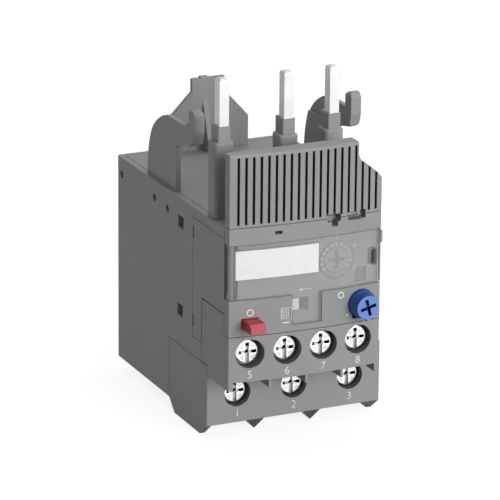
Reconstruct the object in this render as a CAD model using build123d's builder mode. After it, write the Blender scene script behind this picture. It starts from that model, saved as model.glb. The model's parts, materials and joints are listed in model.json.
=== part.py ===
from build123d import *

import math
import os

os.makedirs("parts", exist_ok=True)

# Thermal overload relay for plugging under a motor contactor.
# Millimetres, front towards -Y, foot of the terminal block at Z = 0.
# Depths named *_depth or passed to at() are counted back from the left edge of the front panel.

# Overall form
width = 45.0
body_depth = 65.6
button_reach = 5.5
body_floor = 3.1
body_top = 54.7
wall = 1.6
seam = 0.15
fit = 0.25
running = 0.05

# Front panel and the shells behind it
front_step = 6.8
bow_radius = 140.0
panel_depth = 2.5
panel_bottom = 28.95
panel_top = 55.25
mechanism_depth = 20.4
mechanism_bottom = 34.0
mechanism_top = 52.4
step_height = 22.85
aux_depth = 15.1
aux_bottom = 17.9
terminal_face = 11.9
terminal_depth = 34.0
terminal_top = 18.3
foot_bevel = 4.0
side_hole_radius = 0.95
heel_bevel = 3.2

# Main terminals
pole_inset = 7.85
pole_height = 10.4
main_hole_radius = 3.35
main_head_radius = 3.05
main_head_inset = 1.6
main_shank_radius = 1.9
funnel_width = 9.75
busbar_width = 7.0
busbar_thickness = 1.5
busbar_low = 15.2
tooth_bevel = 2.2

# Auxiliary terminals
aux_left_inset = 5.15
aux_right_inset = 5.66
aux_height = 24.7
aux_hole_radius = 3.5
aux_head_radius = 3.05
aux_head_inset = 1.6
aux_shank_radius = 1.6
aux_rib_reach = 2.0
aux_rib = 1.15
aux_inner_rib = 0.6

# Plug-in pins, towers and hooks
pin_insets = {"left": 3.0, "middle": 19.3, "right": 30.95}
pin_front = 9.8
pin_width = 2.4
pin_thick = 2.7
pin_top = 88.0
tower_front = 9.3
tower_width = 4.8
tower_thick = 4.7
tower_top = 73.0
collar_width = 3.2
collar_thick = 4.2
collar_top = 76.75
carrier_thick = 2.3
hook_inset = 1.65
hook_thick = 1.3
hook_root = 0.6
catch_width = 2.6
catch_corner = 0.9
tongue_inset = 4.0
tongue_thick = 1.2
tongue_top = 72.7

# Ribbed shield
shield_bottom = 55.4
shield_top = 72.85
shield_back = 2.4
groove_inset = 2.1
groove_pitch = 1.817
groove_width = 0.6
groove_deep = 1.1
groove_end = 0.8

# Transparent cover
cover_bottom = 38.0
cover_top = 51.0
cover_thick = 1.2
barrel_radius = 1.2
hinge_pin_radius = 0.6
hinge_pin_length = 1.0
tab_inset = 15.5
tab_width = 7.2
tab_bottom = 30.75
label_inset = 1.55
label_width = 20.3
label_bottom = 42.85
label_top = 49.8
label_thick = 0.3
seal_inset = 1.8
seal_z = 44.35
seal_height = 4.0
seal_width = 1.6

# Dial, reset knob, stop button and test slide
dial_inset = 11.13
dial_z = 44.65
dial_radius = 3.0
dial_shaft = 1.9
cam_small = 2.4
cam_large = 3.6
cam_sweep = 270.0
reset_inset = 5.05
reset_z = 33.6
knob_base_radius = 3.3
knob_seat = 6.0
knob_face_radius = 2.85
plunger_radius = 1.5
stop_inset = 3.2
stop_width = 3.8
stop_low = 31.0
stop_high = 33.3
push_travel = 2.0
test_inset = 15.8
test_width = 1.9
test_low = 33.7
test_high = 36.5
test_travel = 2.2
test_pocket = 3.8

# Status window
window_inset = 12.75
window_width = 2.25
window_low = 32.55
window_high = 34.85

# Thermal and trip parts
strip_depth = 40.2
strip_width = 4.6
strip_thick = 0.8
strip_root = 17.0
strip_tip = 46.3
heater_low = 18.0
heater_high = 41.0
pin_foot = 47.6
slide_low = 43.2
slide_thick = 1.0
slide_gap = 0.3
slide_front = 26.4
slide_back = 47.6
slide_travel = 1.8
lever_x = 5.6
lever_depth = 18.6
lever_arm = 9.0
lever_pin_radius = 0.8
bar_low = 29.6
bar_high = 32.0
bar_depth = 14.4
bar_thick = 1.0
contact_height = 30.3

# Worked out from the sizes above
left = -width / 2
right = width / 2
front_right = right - front_step
back = (body_depth + button_reach) / 2
front = back - body_depth
plate_low = body_top - carrier_thick
plate_top = body_top
pole_pitch = right - pole_inset
pole_places = [-pole_pitch, 0.0, pole_pitch]
pin_places = {name: left + inset for name, inset in pin_insets.items()}
aux_first = left + aux_left_inset
aux_pitch = (front_right - aux_right_inset - aux_first) / 3
aux_places = [aux_first + n * aux_pitch for n in range(4)]
hook_centre = right - hook_inset
tongue_depth = body_depth - tongue_inset
slide_half = right - wall - slide_travel - 0.5
tab_left = left + tab_inset
tab_right = tab_left + tab_width
label_left = left + label_inset
label_right = label_left + label_width
stop_left = left + stop_inset
stop_right = stop_left + stop_width
test_left = left + test_inset
test_right = test_left + test_width
window_left = left + window_inset
window_right = window_left + window_width
dial_x = front_right - dial_inset
reset_x = front_right - reset_inset
seal_x = front_right - seal_inset


def at(depth):
    """Y of a place that lies this far behind the left edge of the front panel."""
    return front + depth


def bow(x, inset=0.0):
    """Depth of the bowed front surface at x, moved inwards by inset."""
    centre = math.sqrt(bow_radius**2 - left**2)
    radius = bow_radius - inset
    return centre - math.sqrt(radius**2 - x**2)


def front_plane(depth):
    """Plane that faces the viewer; a negative extrusion runs back into the relay."""
    return Plane(origin=(0, at(depth), 0), x_dir=(1, 0, 0), z_dir=(0, -1, 0))


def side_plane(x):
    """Plane across the relay, with Y to its right and Z up."""
    return Plane(origin=(x, 0, 0), x_dir=(0, 1, 0), z_dir=(1, 0, 0))


def block(x0, x1, d0, d1, z0, z1, mode=Mode.ADD):
    """Box between two depths, added to or cut from the piece being made."""
    with Locations(((x0 + x1) / 2, (at(d0) + at(d1)) / 2, (z0 + z1) / 2)):
        Box(x1 - x0, d1 - d0, z1 - z0, mode=mode)


def rod(x, z, d0, d1, radius, mode=Mode.ADD):
    """Round bar or bore that runs from depth d0 back to depth d1."""
    with BuildSketch(front_plane(d0)) as section:
        with Locations((x, z)):
            Circle(radius)
    extrude(section.sketch, amount=d0 - d1, mode=mode)


def post(x, depth, z0, z1, radius, mode=Mode.ADD):
    """Upright round bar or bore."""
    with BuildSketch(Plane.XY.offset(z0)) as section:
        with Locations((x, at(depth))):
            Circle(radius)
    extrude(section.sketch, amount=z1 - z0, mode=mode)


def bowed_slab(x0, x1, z0, z1, inset, back_depth, mode=Mode.ADD):
    """Slab whose front follows the bow and whose back is flat."""
    middle = (x0 + x1) / 2
    with BuildSketch(Plane.XY.offset(z0)) as section:
        with BuildLine():
            ThreePointArc(
                (x0, at(bow(x0, inset))),
                (middle, at(bow(middle, inset))),
                (x1, at(bow(x1, inset))),
            )
            Polyline(
                (x1, at(bow(x1, inset))),
                (x1, at(back_depth)),
                (x0, at(back_depth)),
                (x0, at(bow(x0, inset))),
            )
        make_face()
    extrude(section.sketch, amount=z1 - z0, mode=mode)


def bowed_skin(x0, x1, z0, z1, inset, thickness, mode=Mode.ADD):
    """Sheet of even thickness that follows the bow."""
    middle = (x0 + x1) / 2
    deep = inset + thickness
    with BuildSketch(Plane.XY.offset(z0)) as section:
        with BuildLine():
            ThreePointArc(
                (x0, at(bow(x0, inset))),
                (middle, at(bow(middle, inset))),
                (x1, at(bow(x1, inset))),
            )
            Line((x1, at(bow(x1, inset))), (x1, at(bow(x1, deep))))
            ThreePointArc(
                (x1, at(bow(x1, deep))),
                (middle, at(bow(middle, deep))),
                (x0, at(bow(x0, deep))),
            )
            Line((x0, at(bow(x0, deep))), (x0, at(bow(x0, inset))))
        make_face()
    extrude(section.sketch, amount=z1 - z0, mode=mode)


def side_profile(points, x0, x1, mode=Mode.ADD):
    """Prism across the relay from x0 to x1 with an outline of (depth, height) points."""
    with BuildSketch(side_plane(x0)) as section:
        with BuildLine():
            Polyline([(at(depth), height) for depth, height in points], close=True)
        make_face()
    extrude(section.sketch, amount=x1 - x0, mode=mode)


def coil_spring(radius, wire, x, z, d0, d1, turns):
    """Compression spring along Y with a square wire."""
    length = d1 - d0 - wire
    with BuildLine() as line:
        Helix(
            pitch=length / turns,
            height=length,
            radius=radius - wire / 2,
            center=(x, at(d0 + wire / 2), z),
            direction=(0, 1, 0),
        )
    path = line.line
    with BuildSketch(Plane(origin=path @ 0, z_dir=path % 0)) as section:
        Rectangle(wire, wire)
    sweep(section.sketch, path=path, is_frenet=True)


# Rear housing: open at the top and front, with two ribs that make three heater chambers
chamber_back = body_depth - wall
rib_half = 0.6
rib_top = slide_low - slide_gap
window_places = [(25.8, 28.9, 47.5, 50.45), (26.1, 29.1, 25.6, 28.5)]
with BuildPart() as rear_housing:
    side_profile(
        [
            (body_depth, body_floor),
            (body_depth, body_top),
            (panel_depth + seam, body_top),
            (panel_depth + seam, mechanism_top),
            (mechanism_depth, mechanism_top),
            (mechanism_depth, step_height),
            (aux_depth, step_height),
            (aux_depth, terminal_top),
            (terminal_depth, terminal_top),
            (terminal_depth, body_floor),
        ],
        left,
        right,
    )
    fillet(rear_housing.edges().filter_by(Axis.Z).sort_by(Axis.Y)[-2:], 0.6)
    block(front_right, right, 0, mechanism_depth, step_height, body_top, Mode.SUBTRACT)
    block(left + wall, right - wall, terminal_depth + wall, chamber_back,
          body_floor + wall, body_top, Mode.SUBTRACT)
    block(left + wall, right - wall, mechanism_depth + wall, terminal_depth + wall,
          terminal_top + wall, body_top, Mode.SUBTRACT)
    block(left + wall, front_right - wall, aux_depth + wall, mechanism_depth + wall,
          terminal_top + wall, body_top, Mode.SUBTRACT)
    block(left + wall, front_right - wall, panel_depth, aux_depth + wall,
          mechanism_top, body_top, Mode.SUBTRACT)
    for side in (-1, 1):
        rib_x = side * pole_pitch / 2
        block(rib_x - rib_half, rib_x + rib_half, terminal_depth + wall, chamber_back,
              body_floor + wall, rib_top)
    for d0, d1, z0, z1 in window_places:
        block(left, left + wall, d0, d1, z0, z1, Mode.SUBTRACT)
        block(right - wall, right, d0, d1, z0, z1, Mode.SUBTRACT)
    for depth, height in [(body_depth - 2.8, 50.5), (42.9, 50.4), (35.3, 50.0)]:
        with BuildSketch(side_plane(left)):
            with Locations((at(depth), height)):
                Circle(side_hole_radius)
        extrude(amount=wall / 2, mode=Mode.SUBTRACT)
    for pole in pole_places:
        block(pole - busbar_width / 2 - fit, pole + busbar_width / 2 + fit, terminal_depth,
              terminal_depth + wall, busbar_low - 0.2,
              busbar_low + busbar_thickness + 2 * fit, Mode.SUBTRACT)
rear_housing.part.label = "rear_housing"
export_step(rear_housing.part, "parts/rear_housing.step")

# Top carrier: one moulding with the pin towers, the two hooks and the rear tongue
hook_outline = [
    (32.6, plate_top),
    (32.6, plate_top + 11.3),
    (28.4, plate_top + 12.5),
    (25.1, plate_top + 13.2),
    (23.0, plate_top + 14.4),
    (22.1, plate_top + 16.9),
    (22.1, plate_top + 21.2),
    (22.9, plate_top + 22.2),
    (24.4, plate_top + 22.2),
    (25.3, plate_top + 21.3),
    (25.3, plate_top + 19.0),
    (28.2, plate_top + 17.5),
    (36.4, plate_top + 17.5),
]
hook_foot_back = 49.3
hook_rise = [(42.2, plate_top + 15.7), (46.7, plate_top + 11.9), (48.95, plate_top + 5.9)]
catch_low = plate_top + 14.0
catch_high = plate_top + 22.2
root_front = 36.4


def make_catch(side):
    """Wide rounded catch at the front end of a hook."""
    outer = side * (hook_centre + hook_thick / 2)
    inner = outer - side * catch_width
    with BuildPart() as catch:
        side_profile(
            [(23.0, catch_low), *hook_outline[5:10], (25.3, catch_low)],
            min(outer, inner),
            max(outer, inner),
        )
        with BuildSketch(front_plane(0)):
            with Locations(((outer + inner) / 2, (catch_low + catch_high) / 2)):
                RectangleRounded(catch_width, catch_high - catch_low, catch_corner)
        extrude(amount=-body_depth, mode=Mode.INTERSECT)
    return catch.part


catches = [make_catch(side) for side in (-1, 1)]
with BuildPart() as top_carrier:
    with BuildSketch(Plane.XY.offset(plate_low)):
        with BuildLine():
            Polyline(
                (left + wall + seam, at(panel_depth + 2 * seam)),
                (front_right - wall - seam, at(panel_depth + 2 * seam)),
                (front_right - wall - seam, at(mechanism_depth + wall + seam)),
                (right - wall - seam, at(mechanism_depth + wall + seam)),
                (right - wall - seam, at(chamber_back - seam)),
                (left + wall + seam, at(chamber_back - seam)),
                close=True,
            )
        make_face()
    extrude(amount=carrier_thick)
    for place in pin_places.values():
        with BuildSketch(Plane.XY.offset(plate_top)):
            with Locations((place, at(tower_front + tower_thick / 2))):
                RectangleRounded(tower_width, tower_thick, 0.9)
        extrude(amount=tower_top - plate_top)
    fillet(top_carrier.edges().group_by(Axis.Z)[-1], 0.5)
    for place in pin_places.values():
        with BuildSketch(Plane.XY.offset(tower_top)):
            with Locations((place, at(tower_front + tower_thick / 2))):
                RectangleRounded(collar_width, collar_thick, 0.3)
        extrude(amount=collar_top - tower_top)
        with BuildSketch(Plane.XY.offset(plate_low)):
            with Locations((place, at(pin_front + pin_thick / 2))):
                Rectangle(pin_width + 2 * running, pin_thick + 2 * running)
        extrude(amount=collar_top - plate_low, mode=Mode.SUBTRACT)
    for side in (-1, 1):
        with BuildSketch(side_plane(side * hook_centre - hook_thick / 2)):
            with BuildLine():
                wire = Polyline([(at(depth), height) for depth, height in hook_outline])
                Spline(
                    wire @ 1,
                    *[(at(depth), height) for depth, height in hook_rise],
                    (at(hook_foot_back), plate_top),
                    tangents=[(1, 0), (0, -1)],
                )
                Line((at(hook_foot_back), plate_top), wire @ 0)
            make_face()
        extrude(amount=hook_thick)
        inner = side * (hook_centre - hook_thick / 2)
        with BuildSketch(side_plane(min(inner, inner - side * hook_root))):
            with BuildLine():
                foot = Polyline(
                    (at(hook_foot_back - 0.4), plate_top),
                    (at(root_front), plate_top),
                    (at(root_front), plate_top + 11.6),
                    (at(46.7), plate_top + 11.6),
                )
                Spline(foot @ 1, (at(48.5), plate_top + 5.9), foot @ 0)
            make_face()
        extrude(amount=hook_root)
    for catch in catches:
        add(catch)
    with BuildSketch(front_plane(tongue_depth)):
        with BuildLine():
            Polyline(
                (-10.5, plate_top),
                (-10.5, tongue_top - 9.4),
                (-4.5, tongue_top - 3.3),
                (-4.5, tongue_top),
                (4.1, tongue_top),
                (4.1, tongue_top - 3.5),
                (10.5, tongue_top - 10.6),
                (10.5, plate_top),
                close=True,
            )
        make_face()
    extrude(amount=-tongue_thick)
    block(-2.3, -0.4, tongue_depth, tongue_depth + tongue_thick, tongue_top, tongue_top + 0.4)
    side_profile(
        [(tongue_depth, 67.0), (tongue_depth, plate_top), (tongue_depth - 4.0, plate_top)],
        -1.6,
        -0.2,
    )
top_carrier.part.label = "top_carrier"
export_step(top_carrier.part, "parts/top_carrier.step")

# Ribbed shield: bowed comb of grooves with a stepped right shoulder
groove_first = left + groove_inset
groove_count = int((front_right - groove_first - 1.2) / groove_pitch) + 1
notches = [
    (front_right - 14.1, front_right - 10.8, panel_top - 0.85, shield_bottom + 0.9),
    (front_right - 5.8, front_right - 4.25, panel_top - 0.95, shield_bottom + 1.0),
]
notch_floor = 0.6
with BuildPart() as ribbed_shield:
    bowed_slab(left, front_right, shield_bottom, shield_top, 0, shield_back)
    fillet(ribbed_shield.edges().filter_by(GeomType.CIRCLE).sort_by(Axis.Z)[-1], 0.5)
    with BuildSketch(front_plane(shield_back)):
        with BuildLine():
            edge = Line((front_right - 6.3, shield_top), (front_right - 6.3, shield_top - 2.85))
            curve = ThreePointArc(
                edge @ 1,
                (front_right - 5.75, shield_top - 4.25),
                (front_right - 4.5, shield_top - 5.25),
            )
            Polyline(
                curve @ 1,
                (front_right - 1.1, shield_top - 8.05),
                (front_right, shield_top - 9.45),
                (front_right, shield_top),
                edge @ 0,
            )
        make_face()
    extrude(amount=shield_back + 3, mode=Mode.SUBTRACT)
    for groove in range(groove_count):
        groove_x = groove_first + groove * groove_pitch
        depth_here = bow(groove_x)
        block(groove_x - groove_width / 2, groove_x + groove_width / 2, depth_here - 1,
              depth_here + groove_deep, shield_bottom + 0.6, shield_top - groove_end,
              Mode.SUBTRACT)
    for x0, x1, low, high in notches:
        block(x0, x1, -3, notch_floor, low, high, Mode.SUBTRACT)
    block(front_right - 9.1, front_right - 6.6, -3, -1.2, shield_bottom, shield_bottom + 0.8,
          Mode.SUBTRACT)
ribbed_shield.part.label = "ribbed_shield"
export_step(ribbed_shield.part, "parts/ribbed_shield.step")

# Front panel: bowed plate with the recess for the cover and the openings of the controls
recess = cover_thick + 0.15
ring_radius = 4.6
hinge_x = left + barrel_radius + 0.05
hinge_depth = barrel_radius + 0.05
with BuildPart() as front_panel:
    bowed_slab(left, front_right, panel_bottom + seam, panel_top, 0, panel_depth)
    bowed_slab(left - 1, front_right + 1, cover_bottom - seam, cover_top + seam, -3, 0.9,
               Mode.SUBTRACT)
    bowed_skin(left, front_right, cover_bottom - seam, cover_top + seam, recess,
               panel_depth - recess)
    bowed_skin(tab_left - seam, tab_right + seam, tab_bottom - seam, cover_bottom, -1,
               recess + 1, Mode.SUBTRACT)
    block(left, left + 2 * barrel_radius + 0.3, -1, panel_depth + 1, cover_bottom - seam,
          cover_top + seam, Mode.SUBTRACT)
    post(hinge_x, hinge_depth, cover_bottom - hinge_pin_length - 0.2,
         cover_top + hinge_pin_length + 0.2, hinge_pin_radius + running, Mode.SUBTRACT)
    with BuildSketch(front_plane(-3)):
        with Locations((dial_x, dial_z)):
            Circle(ring_radius)
            Circle(ring_radius - 0.35, mode=Mode.SUBTRACT)
    extrude(amount=-3 - bow(dial_x) - recess - 0.4, mode=Mode.SUBTRACT)
    rod(dial_x, dial_z, -3, panel_depth + 1, dial_radius + 0.1, Mode.SUBTRACT)
    block(dial_x + 4.9, dial_x + 7.9, -3, bow(dial_x + 6.4) + recess + 0.7,
          cover_bottom + 0.5, cover_bottom + 4.0, Mode.SUBTRACT)
    block(seal_x - 1.0, seal_x + 1.0, -3, panel_depth + 1, seal_z - 2.05, seal_z + 2.05,
          Mode.SUBTRACT)
    block(reset_x - 2.25, reset_x + 0.1, -3, panel_depth + 1, reset_z - 3.6, reset_z - 2.1,
          Mode.SUBTRACT)
    block(left + 10.9, left + 12.7, -3, panel_depth + 1, panel_top - 2.15, panel_top - 1.35,
          Mode.SUBTRACT)
    for x0, x1, low, high in notches:
        block(x0, x1, -3, notch_floor, low, high, Mode.SUBTRACT)
    block(front_right - 13.1, front_right - 11.5, -3, notch_floor, panel_top - 1.95,
          panel_top - 0.85, Mode.SUBTRACT)
    rod(reset_x, reset_z, -3, panel_depth + 1, knob_base_radius + 0.1, Mode.SUBTRACT)
    block(stop_left - 0.15, stop_right + 0.15, -3, panel_depth + 1, stop_low - 0.15,
          stop_high + 0.15, Mode.SUBTRACT)
    block(test_left - 0.15, test_right + test_travel + 0.15, -3, panel_depth + 1,
          test_low - 0.2, test_high + 0.2, Mode.SUBTRACT)
    block(window_left - 0.05, window_right + 0.05, -3, panel_depth + 1, window_low - 0.05,
          window_high + 0.05, Mode.SUBTRACT)
front_panel.part.label = "front_panel"
export_step(front_panel.part, "parts/front_panel.step")

# Housing of the trip mechanism, behind the front panel
boss_radius = 1.6
contact_floor = step_height + seam + wall
seat_depth = mechanism_depth - seam - 1.2
seat_right = -6.0
boss_low = 45.0
with BuildPart() as mechanism_housing:
    side_profile(
        [
            (panel_depth + seam, mechanism_bottom + seam),
            (panel_depth + seam, mechanism_top - seam),
            (mechanism_depth - seam, mechanism_top - seam),
            (mechanism_depth - seam, step_height + seam),
            (aux_depth + seam, step_height + seam),
            (aux_depth + seam, mechanism_bottom + seam),
        ],
        left,
        front_right,
    )
    block(left + wall, front_right - wall, panel_depth + seam + wall, mechanism_depth,
          mechanism_bottom + seam + wall, mechanism_top - seam - wall, Mode.SUBTRACT)
    block(left + wall, front_right - wall, aux_depth, mechanism_depth, contact_floor,
          mechanism_bottom + seam + wall, Mode.SUBTRACT)
    block(left + wall, seat_right, seat_depth, mechanism_depth - seam, contact_floor,
          mechanism_bottom + seam + wall)
    post(lever_x, lever_depth, boss_low, mechanism_top - seam - wall, boss_radius)
    post(lever_x, lever_depth, boss_low, boss_low + 2.0, lever_pin_radius + running,
         Mode.SUBTRACT)
    post(lever_x, lever_depth, contact_floor - 0.8, contact_floor,
         lever_pin_radius + running, Mode.SUBTRACT)
    for place in pin_places.values():
        block(place - pin_width / 2 - fit, place + pin_width / 2 + fit, pin_front - fit,
              mechanism_depth, mechanism_top - seam - wall, mechanism_top, Mode.SUBTRACT)
    rod(dial_x, dial_z, panel_depth, panel_depth + seam + wall, dial_shaft + running,
        Mode.SUBTRACT)
    rod(reset_x, reset_z, panel_depth, knob_seat, knob_base_radius + 0.15, Mode.SUBTRACT)
    rod(reset_x, reset_z, panel_depth, aux_depth + 2, plunger_radius + running,
        Mode.SUBTRACT)
    block(test_left - 0.6, test_right + test_travel + 0.6, panel_depth, test_pocket,
          mechanism_bottom, test_high + 0.8, Mode.SUBTRACT)
    block(test_left + 0.3, test_right + test_travel - 0.3, panel_depth, 5.0,
          test_high - 0.7, test_high + 0.7, Mode.SUBTRACT)
    for low in (mechanism_top - 5.1, step_height + 2.65):
        block(left, left + wall / 2, mechanism_depth - 0.7, mechanism_depth, low, low + 3.0,
              Mode.SUBTRACT)
mechanism_housing.part.label = "mechanism_housing"
export_step(mechanism_housing.part, "parts/mechanism_housing.step")

# Auxiliary terminal block: four screw chambers open at the bottom, contact space behind
chamber_half = aux_pitch / 2 - 0.665
chamber_top = aux_height + 3.4
chamber_front = 1.2
chamber_rear = 8.05
inner_wall = 1.2
stop_x = (stop_left + stop_right) / 2
stop_z = (stop_low + stop_high) / 2
stop_stem_end = 8.8
stem_radius = 0.9
spring_seat = 6.2
with BuildPart() as aux_terminal_block:
    bowed_slab(left, front_right, aux_bottom, panel_bottom, 0, terminal_face - seam)
    block(left, front_right, terminal_face - seam - 1, aux_depth - seam,
          terminal_top + seam, panel_bottom)
    block(left, front_right, panel_depth + seam, aux_depth - seam, panel_bottom,
          mechanism_bottom - seam)
    bowed_slab(left, left + aux_rib, aux_bottom - aux_rib_reach, aux_bottom, 0,
               terminal_face - seam)
    bowed_slab(front_right - aux_rib, front_right, aux_bottom - aux_rib_reach, aux_bottom,
               0, terminal_face - seam)
    for place in aux_places[1:]:
        bowed_slab(place - chamber_half - aux_inner_rib, place - chamber_half,
                   aux_bottom - aux_rib_reach, aux_bottom, 0, terminal_face - seam)
    for place in aux_places:
        block(place - chamber_half, place + chamber_half, chamber_front, chamber_rear,
              aux_bottom, chamber_top, Mode.SUBTRACT)
        rod(place, aux_height, -3, chamber_front, aux_hole_radius, Mode.SUBTRACT)
        rod(place, aux_height, chamber_rear, chamber_rear + inner_wall,
            aux_shank_radius + fit, Mode.SUBTRACT)
        block(place - 2.5 - fit, place + 2.5 + fit, chamber_rear - 0.1,
              chamber_rear + inner_wall, chamber_top - 1.25, chamber_top, Mode.SUBTRACT)
    block(left + wall, front_right - wall, chamber_rear + inner_wall, aux_depth,
          terminal_top + wall, mechanism_bottom - seam - wall, Mode.SUBTRACT)
    block(left + wall, front_right - wall, 7.6, chamber_rear + inner_wall, 30.4,
          mechanism_bottom - seam - wall, Mode.SUBTRACT)
    block(stop_left - 0.15, stop_right + 0.15, panel_depth,
          panel_depth + push_travel + 0.2, stop_low - 0.15, stop_high + 0.15,
          Mode.SUBTRACT)
    rod(stop_x, stop_z, panel_depth + push_travel, spring_seat, 1.4, Mode.SUBTRACT)
    rod(stop_x, stop_z, spring_seat, stop_stem_end + push_travel + 0.5,
        stem_radius + running, Mode.SUBTRACT)
    rod(reset_x, reset_z, panel_depth, knob_seat, knob_base_radius + 0.15, Mode.SUBTRACT)
    rod(reset_x, reset_z, panel_depth, aux_depth, plunger_radius + running, Mode.SUBTRACT)
    block(test_left - 0.6, test_right + test_travel + 0.6, panel_depth, test_pocket,
          test_low - 0.9, mechanism_bottom, Mode.SUBTRACT)
aux_terminal_block.part.label = "aux_terminal_block"
export_step(aux_terminal_block.part, "parts/aux_terminal_block.step")

# Main terminal block: three cable funnels between pointed ridges, bevelled at both ends
shoulder_depth = terminal_face + 4.85
screw_wall_back = shoulder_depth + 1.25
cage_chamber_back = terminal_depth - 1.8
cage_chamber_top = terminal_top - 1.5
side_wall = 1.2
tooth_steps = (-4.8, -1.9, -0.3)


def cut_foot_bevel(x0, x1, depth):
    """Bevel from the lower edge of the front face back to the foot, between two places."""
    rise = depth / body_floor
    side_profile(
        [
            (terminal_face - 1, body_floor),
            (terminal_face, body_floor),
            (terminal_face + depth + rise, -1),
            (terminal_face - 1, -1),
        ],
        x0,
        x1,
        Mode.SUBTRACT,
    )


with BuildPart() as main_terminal_block:
    side_profile(
        [
            (terminal_face, body_floor),
            (terminal_face + foot_bevel, 0),
            (terminal_depth - heel_bevel, 0),
            (terminal_depth - seam, body_floor - seam),
            (terminal_depth - seam, terminal_top - seam),
            (terminal_face, terminal_top - seam),
        ],
        left,
        right,
    )
    for pole in pole_places:
        with BuildSketch(front_plane(terminal_face - 1)):
            with BuildLine():
                Polyline(
                    (max(pole - pole_pitch / 2, left + side_wall), 0),
                    (pole - funnel_width / 2, body_floor),
                    (pole + funnel_width / 2, body_floor),
                    (min(pole + pole_pitch / 2, right - side_wall), 0),
                    close=True,
                )
            make_face()
        extrude(amount=-(terminal_depth - terminal_face + 2), mode=Mode.SUBTRACT)
        block(pole - funnel_width / 2, pole + funnel_width / 2, screw_wall_back,
              cage_chamber_back, 0, cage_chamber_top, Mode.SUBTRACT)
        rod(pole, pole_height, terminal_face - 1, shoulder_depth, main_hole_radius,
            Mode.SUBTRACT)
        rod(pole, pole_height, shoulder_depth, screw_wall_back, main_shank_radius + fit,
            Mode.SUBTRACT)
        block(pole - busbar_width / 2 - fit, pole + busbar_width / 2 + fit,
              cage_chamber_back, terminal_depth, busbar_low - 0.2,
              busbar_low + busbar_thickness + 2 * fit, Mode.SUBTRACT)
    block(-main_head_radius, main_head_radius, terminal_face - 1, terminal_face + 2.0,
          pole_height, terminal_top, Mode.SUBTRACT)
    block(left + side_wall, right - side_wall, terminal_face - 1, screw_wall_back, -1,
          body_floor, Mode.SUBTRACT)
    for pole in pole_places[:2]:
        ridge_x = pole + pole_pitch / 2
        first, tip, last = [ridge_x + step for step in tooth_steps]
        with BuildSketch(front_plane(terminal_face)):
            with BuildLine():
                Polyline((first, body_floor), (tip, 0), (last, body_floor), close=True)
            make_face()
        extrude(amount=terminal_face - screw_wall_back)
        cut_foot_bevel(first - 1, last + 1, tooth_bevel)
    with BuildSketch(front_plane(terminal_face)):
        with BuildLine():
            Polyline(
                (right - 5.0, body_floor),
                (right - side_wall - 0.1, 0),
                (right - side_wall, 0),
                (right - side_wall, body_floor),
                close=True,
            )
        make_face()
    extrude(amount=terminal_face - screw_wall_back)
    cut_foot_bevel(right - 5.5, right - side_wall, foot_bevel)
main_terminal_block.part.label = "main_terminal_block"
export_step(main_terminal_block.part, "parts/main_terminal_block.step")

# Transparent cover with its hinge barrel, test tab and seal slot
with BuildPart() as transparent_cover:
    bowed_skin(hinge_x, front_right, cover_bottom, cover_top, 0, cover_thick)
    bowed_skin(tab_left, tab_right, tab_bottom, cover_bottom, 0, cover_thick)
    post(hinge_x, hinge_depth, cover_bottom, cover_top, barrel_radius)
    post(hinge_x, hinge_depth, cover_bottom - hinge_pin_length,
         cover_top + hinge_pin_length, hinge_pin_radius)
    block(front_right - 0.5, front_right + 0.5, bow(front_right) + 0.1,
          bow(front_right) + cover_thick, cover_top - 3.4, cover_top - 0.6)
    with BuildSketch(front_plane(-4)):
        with Locations((seal_x, seal_z)):
            SlotOverall(seal_height, seal_width, rotation=90)
    extrude(amount=-6, mode=Mode.SUBTRACT)
    bowed_skin(label_left - 0.05, label_right + 0.05, label_bottom - 0.05,
               label_top + 0.05, -0.5, 0.5 + label_thick, Mode.SUBTRACT)
transparent_cover.part.label = "transparent_cover"
export_step(transparent_cover.part, "parts/transparent_cover.step")

with BuildPart() as label_plate:
    bowed_skin(label_left, label_right, label_bottom, label_top, 0, label_thick)
label_plate.part.label = "label_plate"
export_step(label_plate.part, "parts/label_plate.step")

with BuildPart() as status_window:
    block(window_left, window_right, bow(window_left) + 0.1, panel_depth, window_low,
          window_high)
status_window.part.label = "status_window"
export_step(status_window.part, "parts/status_window.step")

# Setting dial: cross-slotted head, shaft and a snail cam of steady rise
dial_front = bow(dial_x) + recess + 0.1
cam_front = 9.0
cam_back = 12.0
cam_rise = (cam_large - cam_small) / math.radians(cam_sweep)
cam_middle = (cam_large + cam_small) / 2


def cam_point(angle):
    """Point of the snail cam; the angle is in degrees from the top, clockwise."""
    radius = cam_middle + cam_rise * math.radians(180 - angle)
    turn = math.radians(angle)
    return (dial_x + radius * math.sin(turn), dial_z + radius * math.cos(turn))


with BuildPart() as setting_dial:
    rod(dial_x, dial_z, dial_front, panel_depth, dial_radius)
    rod(dial_x, dial_z, panel_depth, cam_back + 3.0, dial_shaft)
    with BuildSketch(front_plane(cam_front)):
        with BuildLine():
            Spline([cam_point(angle) for angle in range(45, 316, 30)])
            Line(cam_point(315), (dial_x, dial_z + cam_small))
            Line((dial_x, dial_z + cam_small), cam_point(45))
        make_face()
    extrude(amount=cam_front - cam_back)
    for turn in (45, 135):
        with BuildSketch(front_plane(dial_front)):
            with Locations((dial_x, dial_z)):
                Rectangle(4.2, 0.9, rotation=turn)
        extrude(amount=-0.9, mode=Mode.SUBTRACT)
setting_dial.part.label = "setting_dial"
export_step(setting_dial.part, "parts/setting_dial.step")

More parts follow.
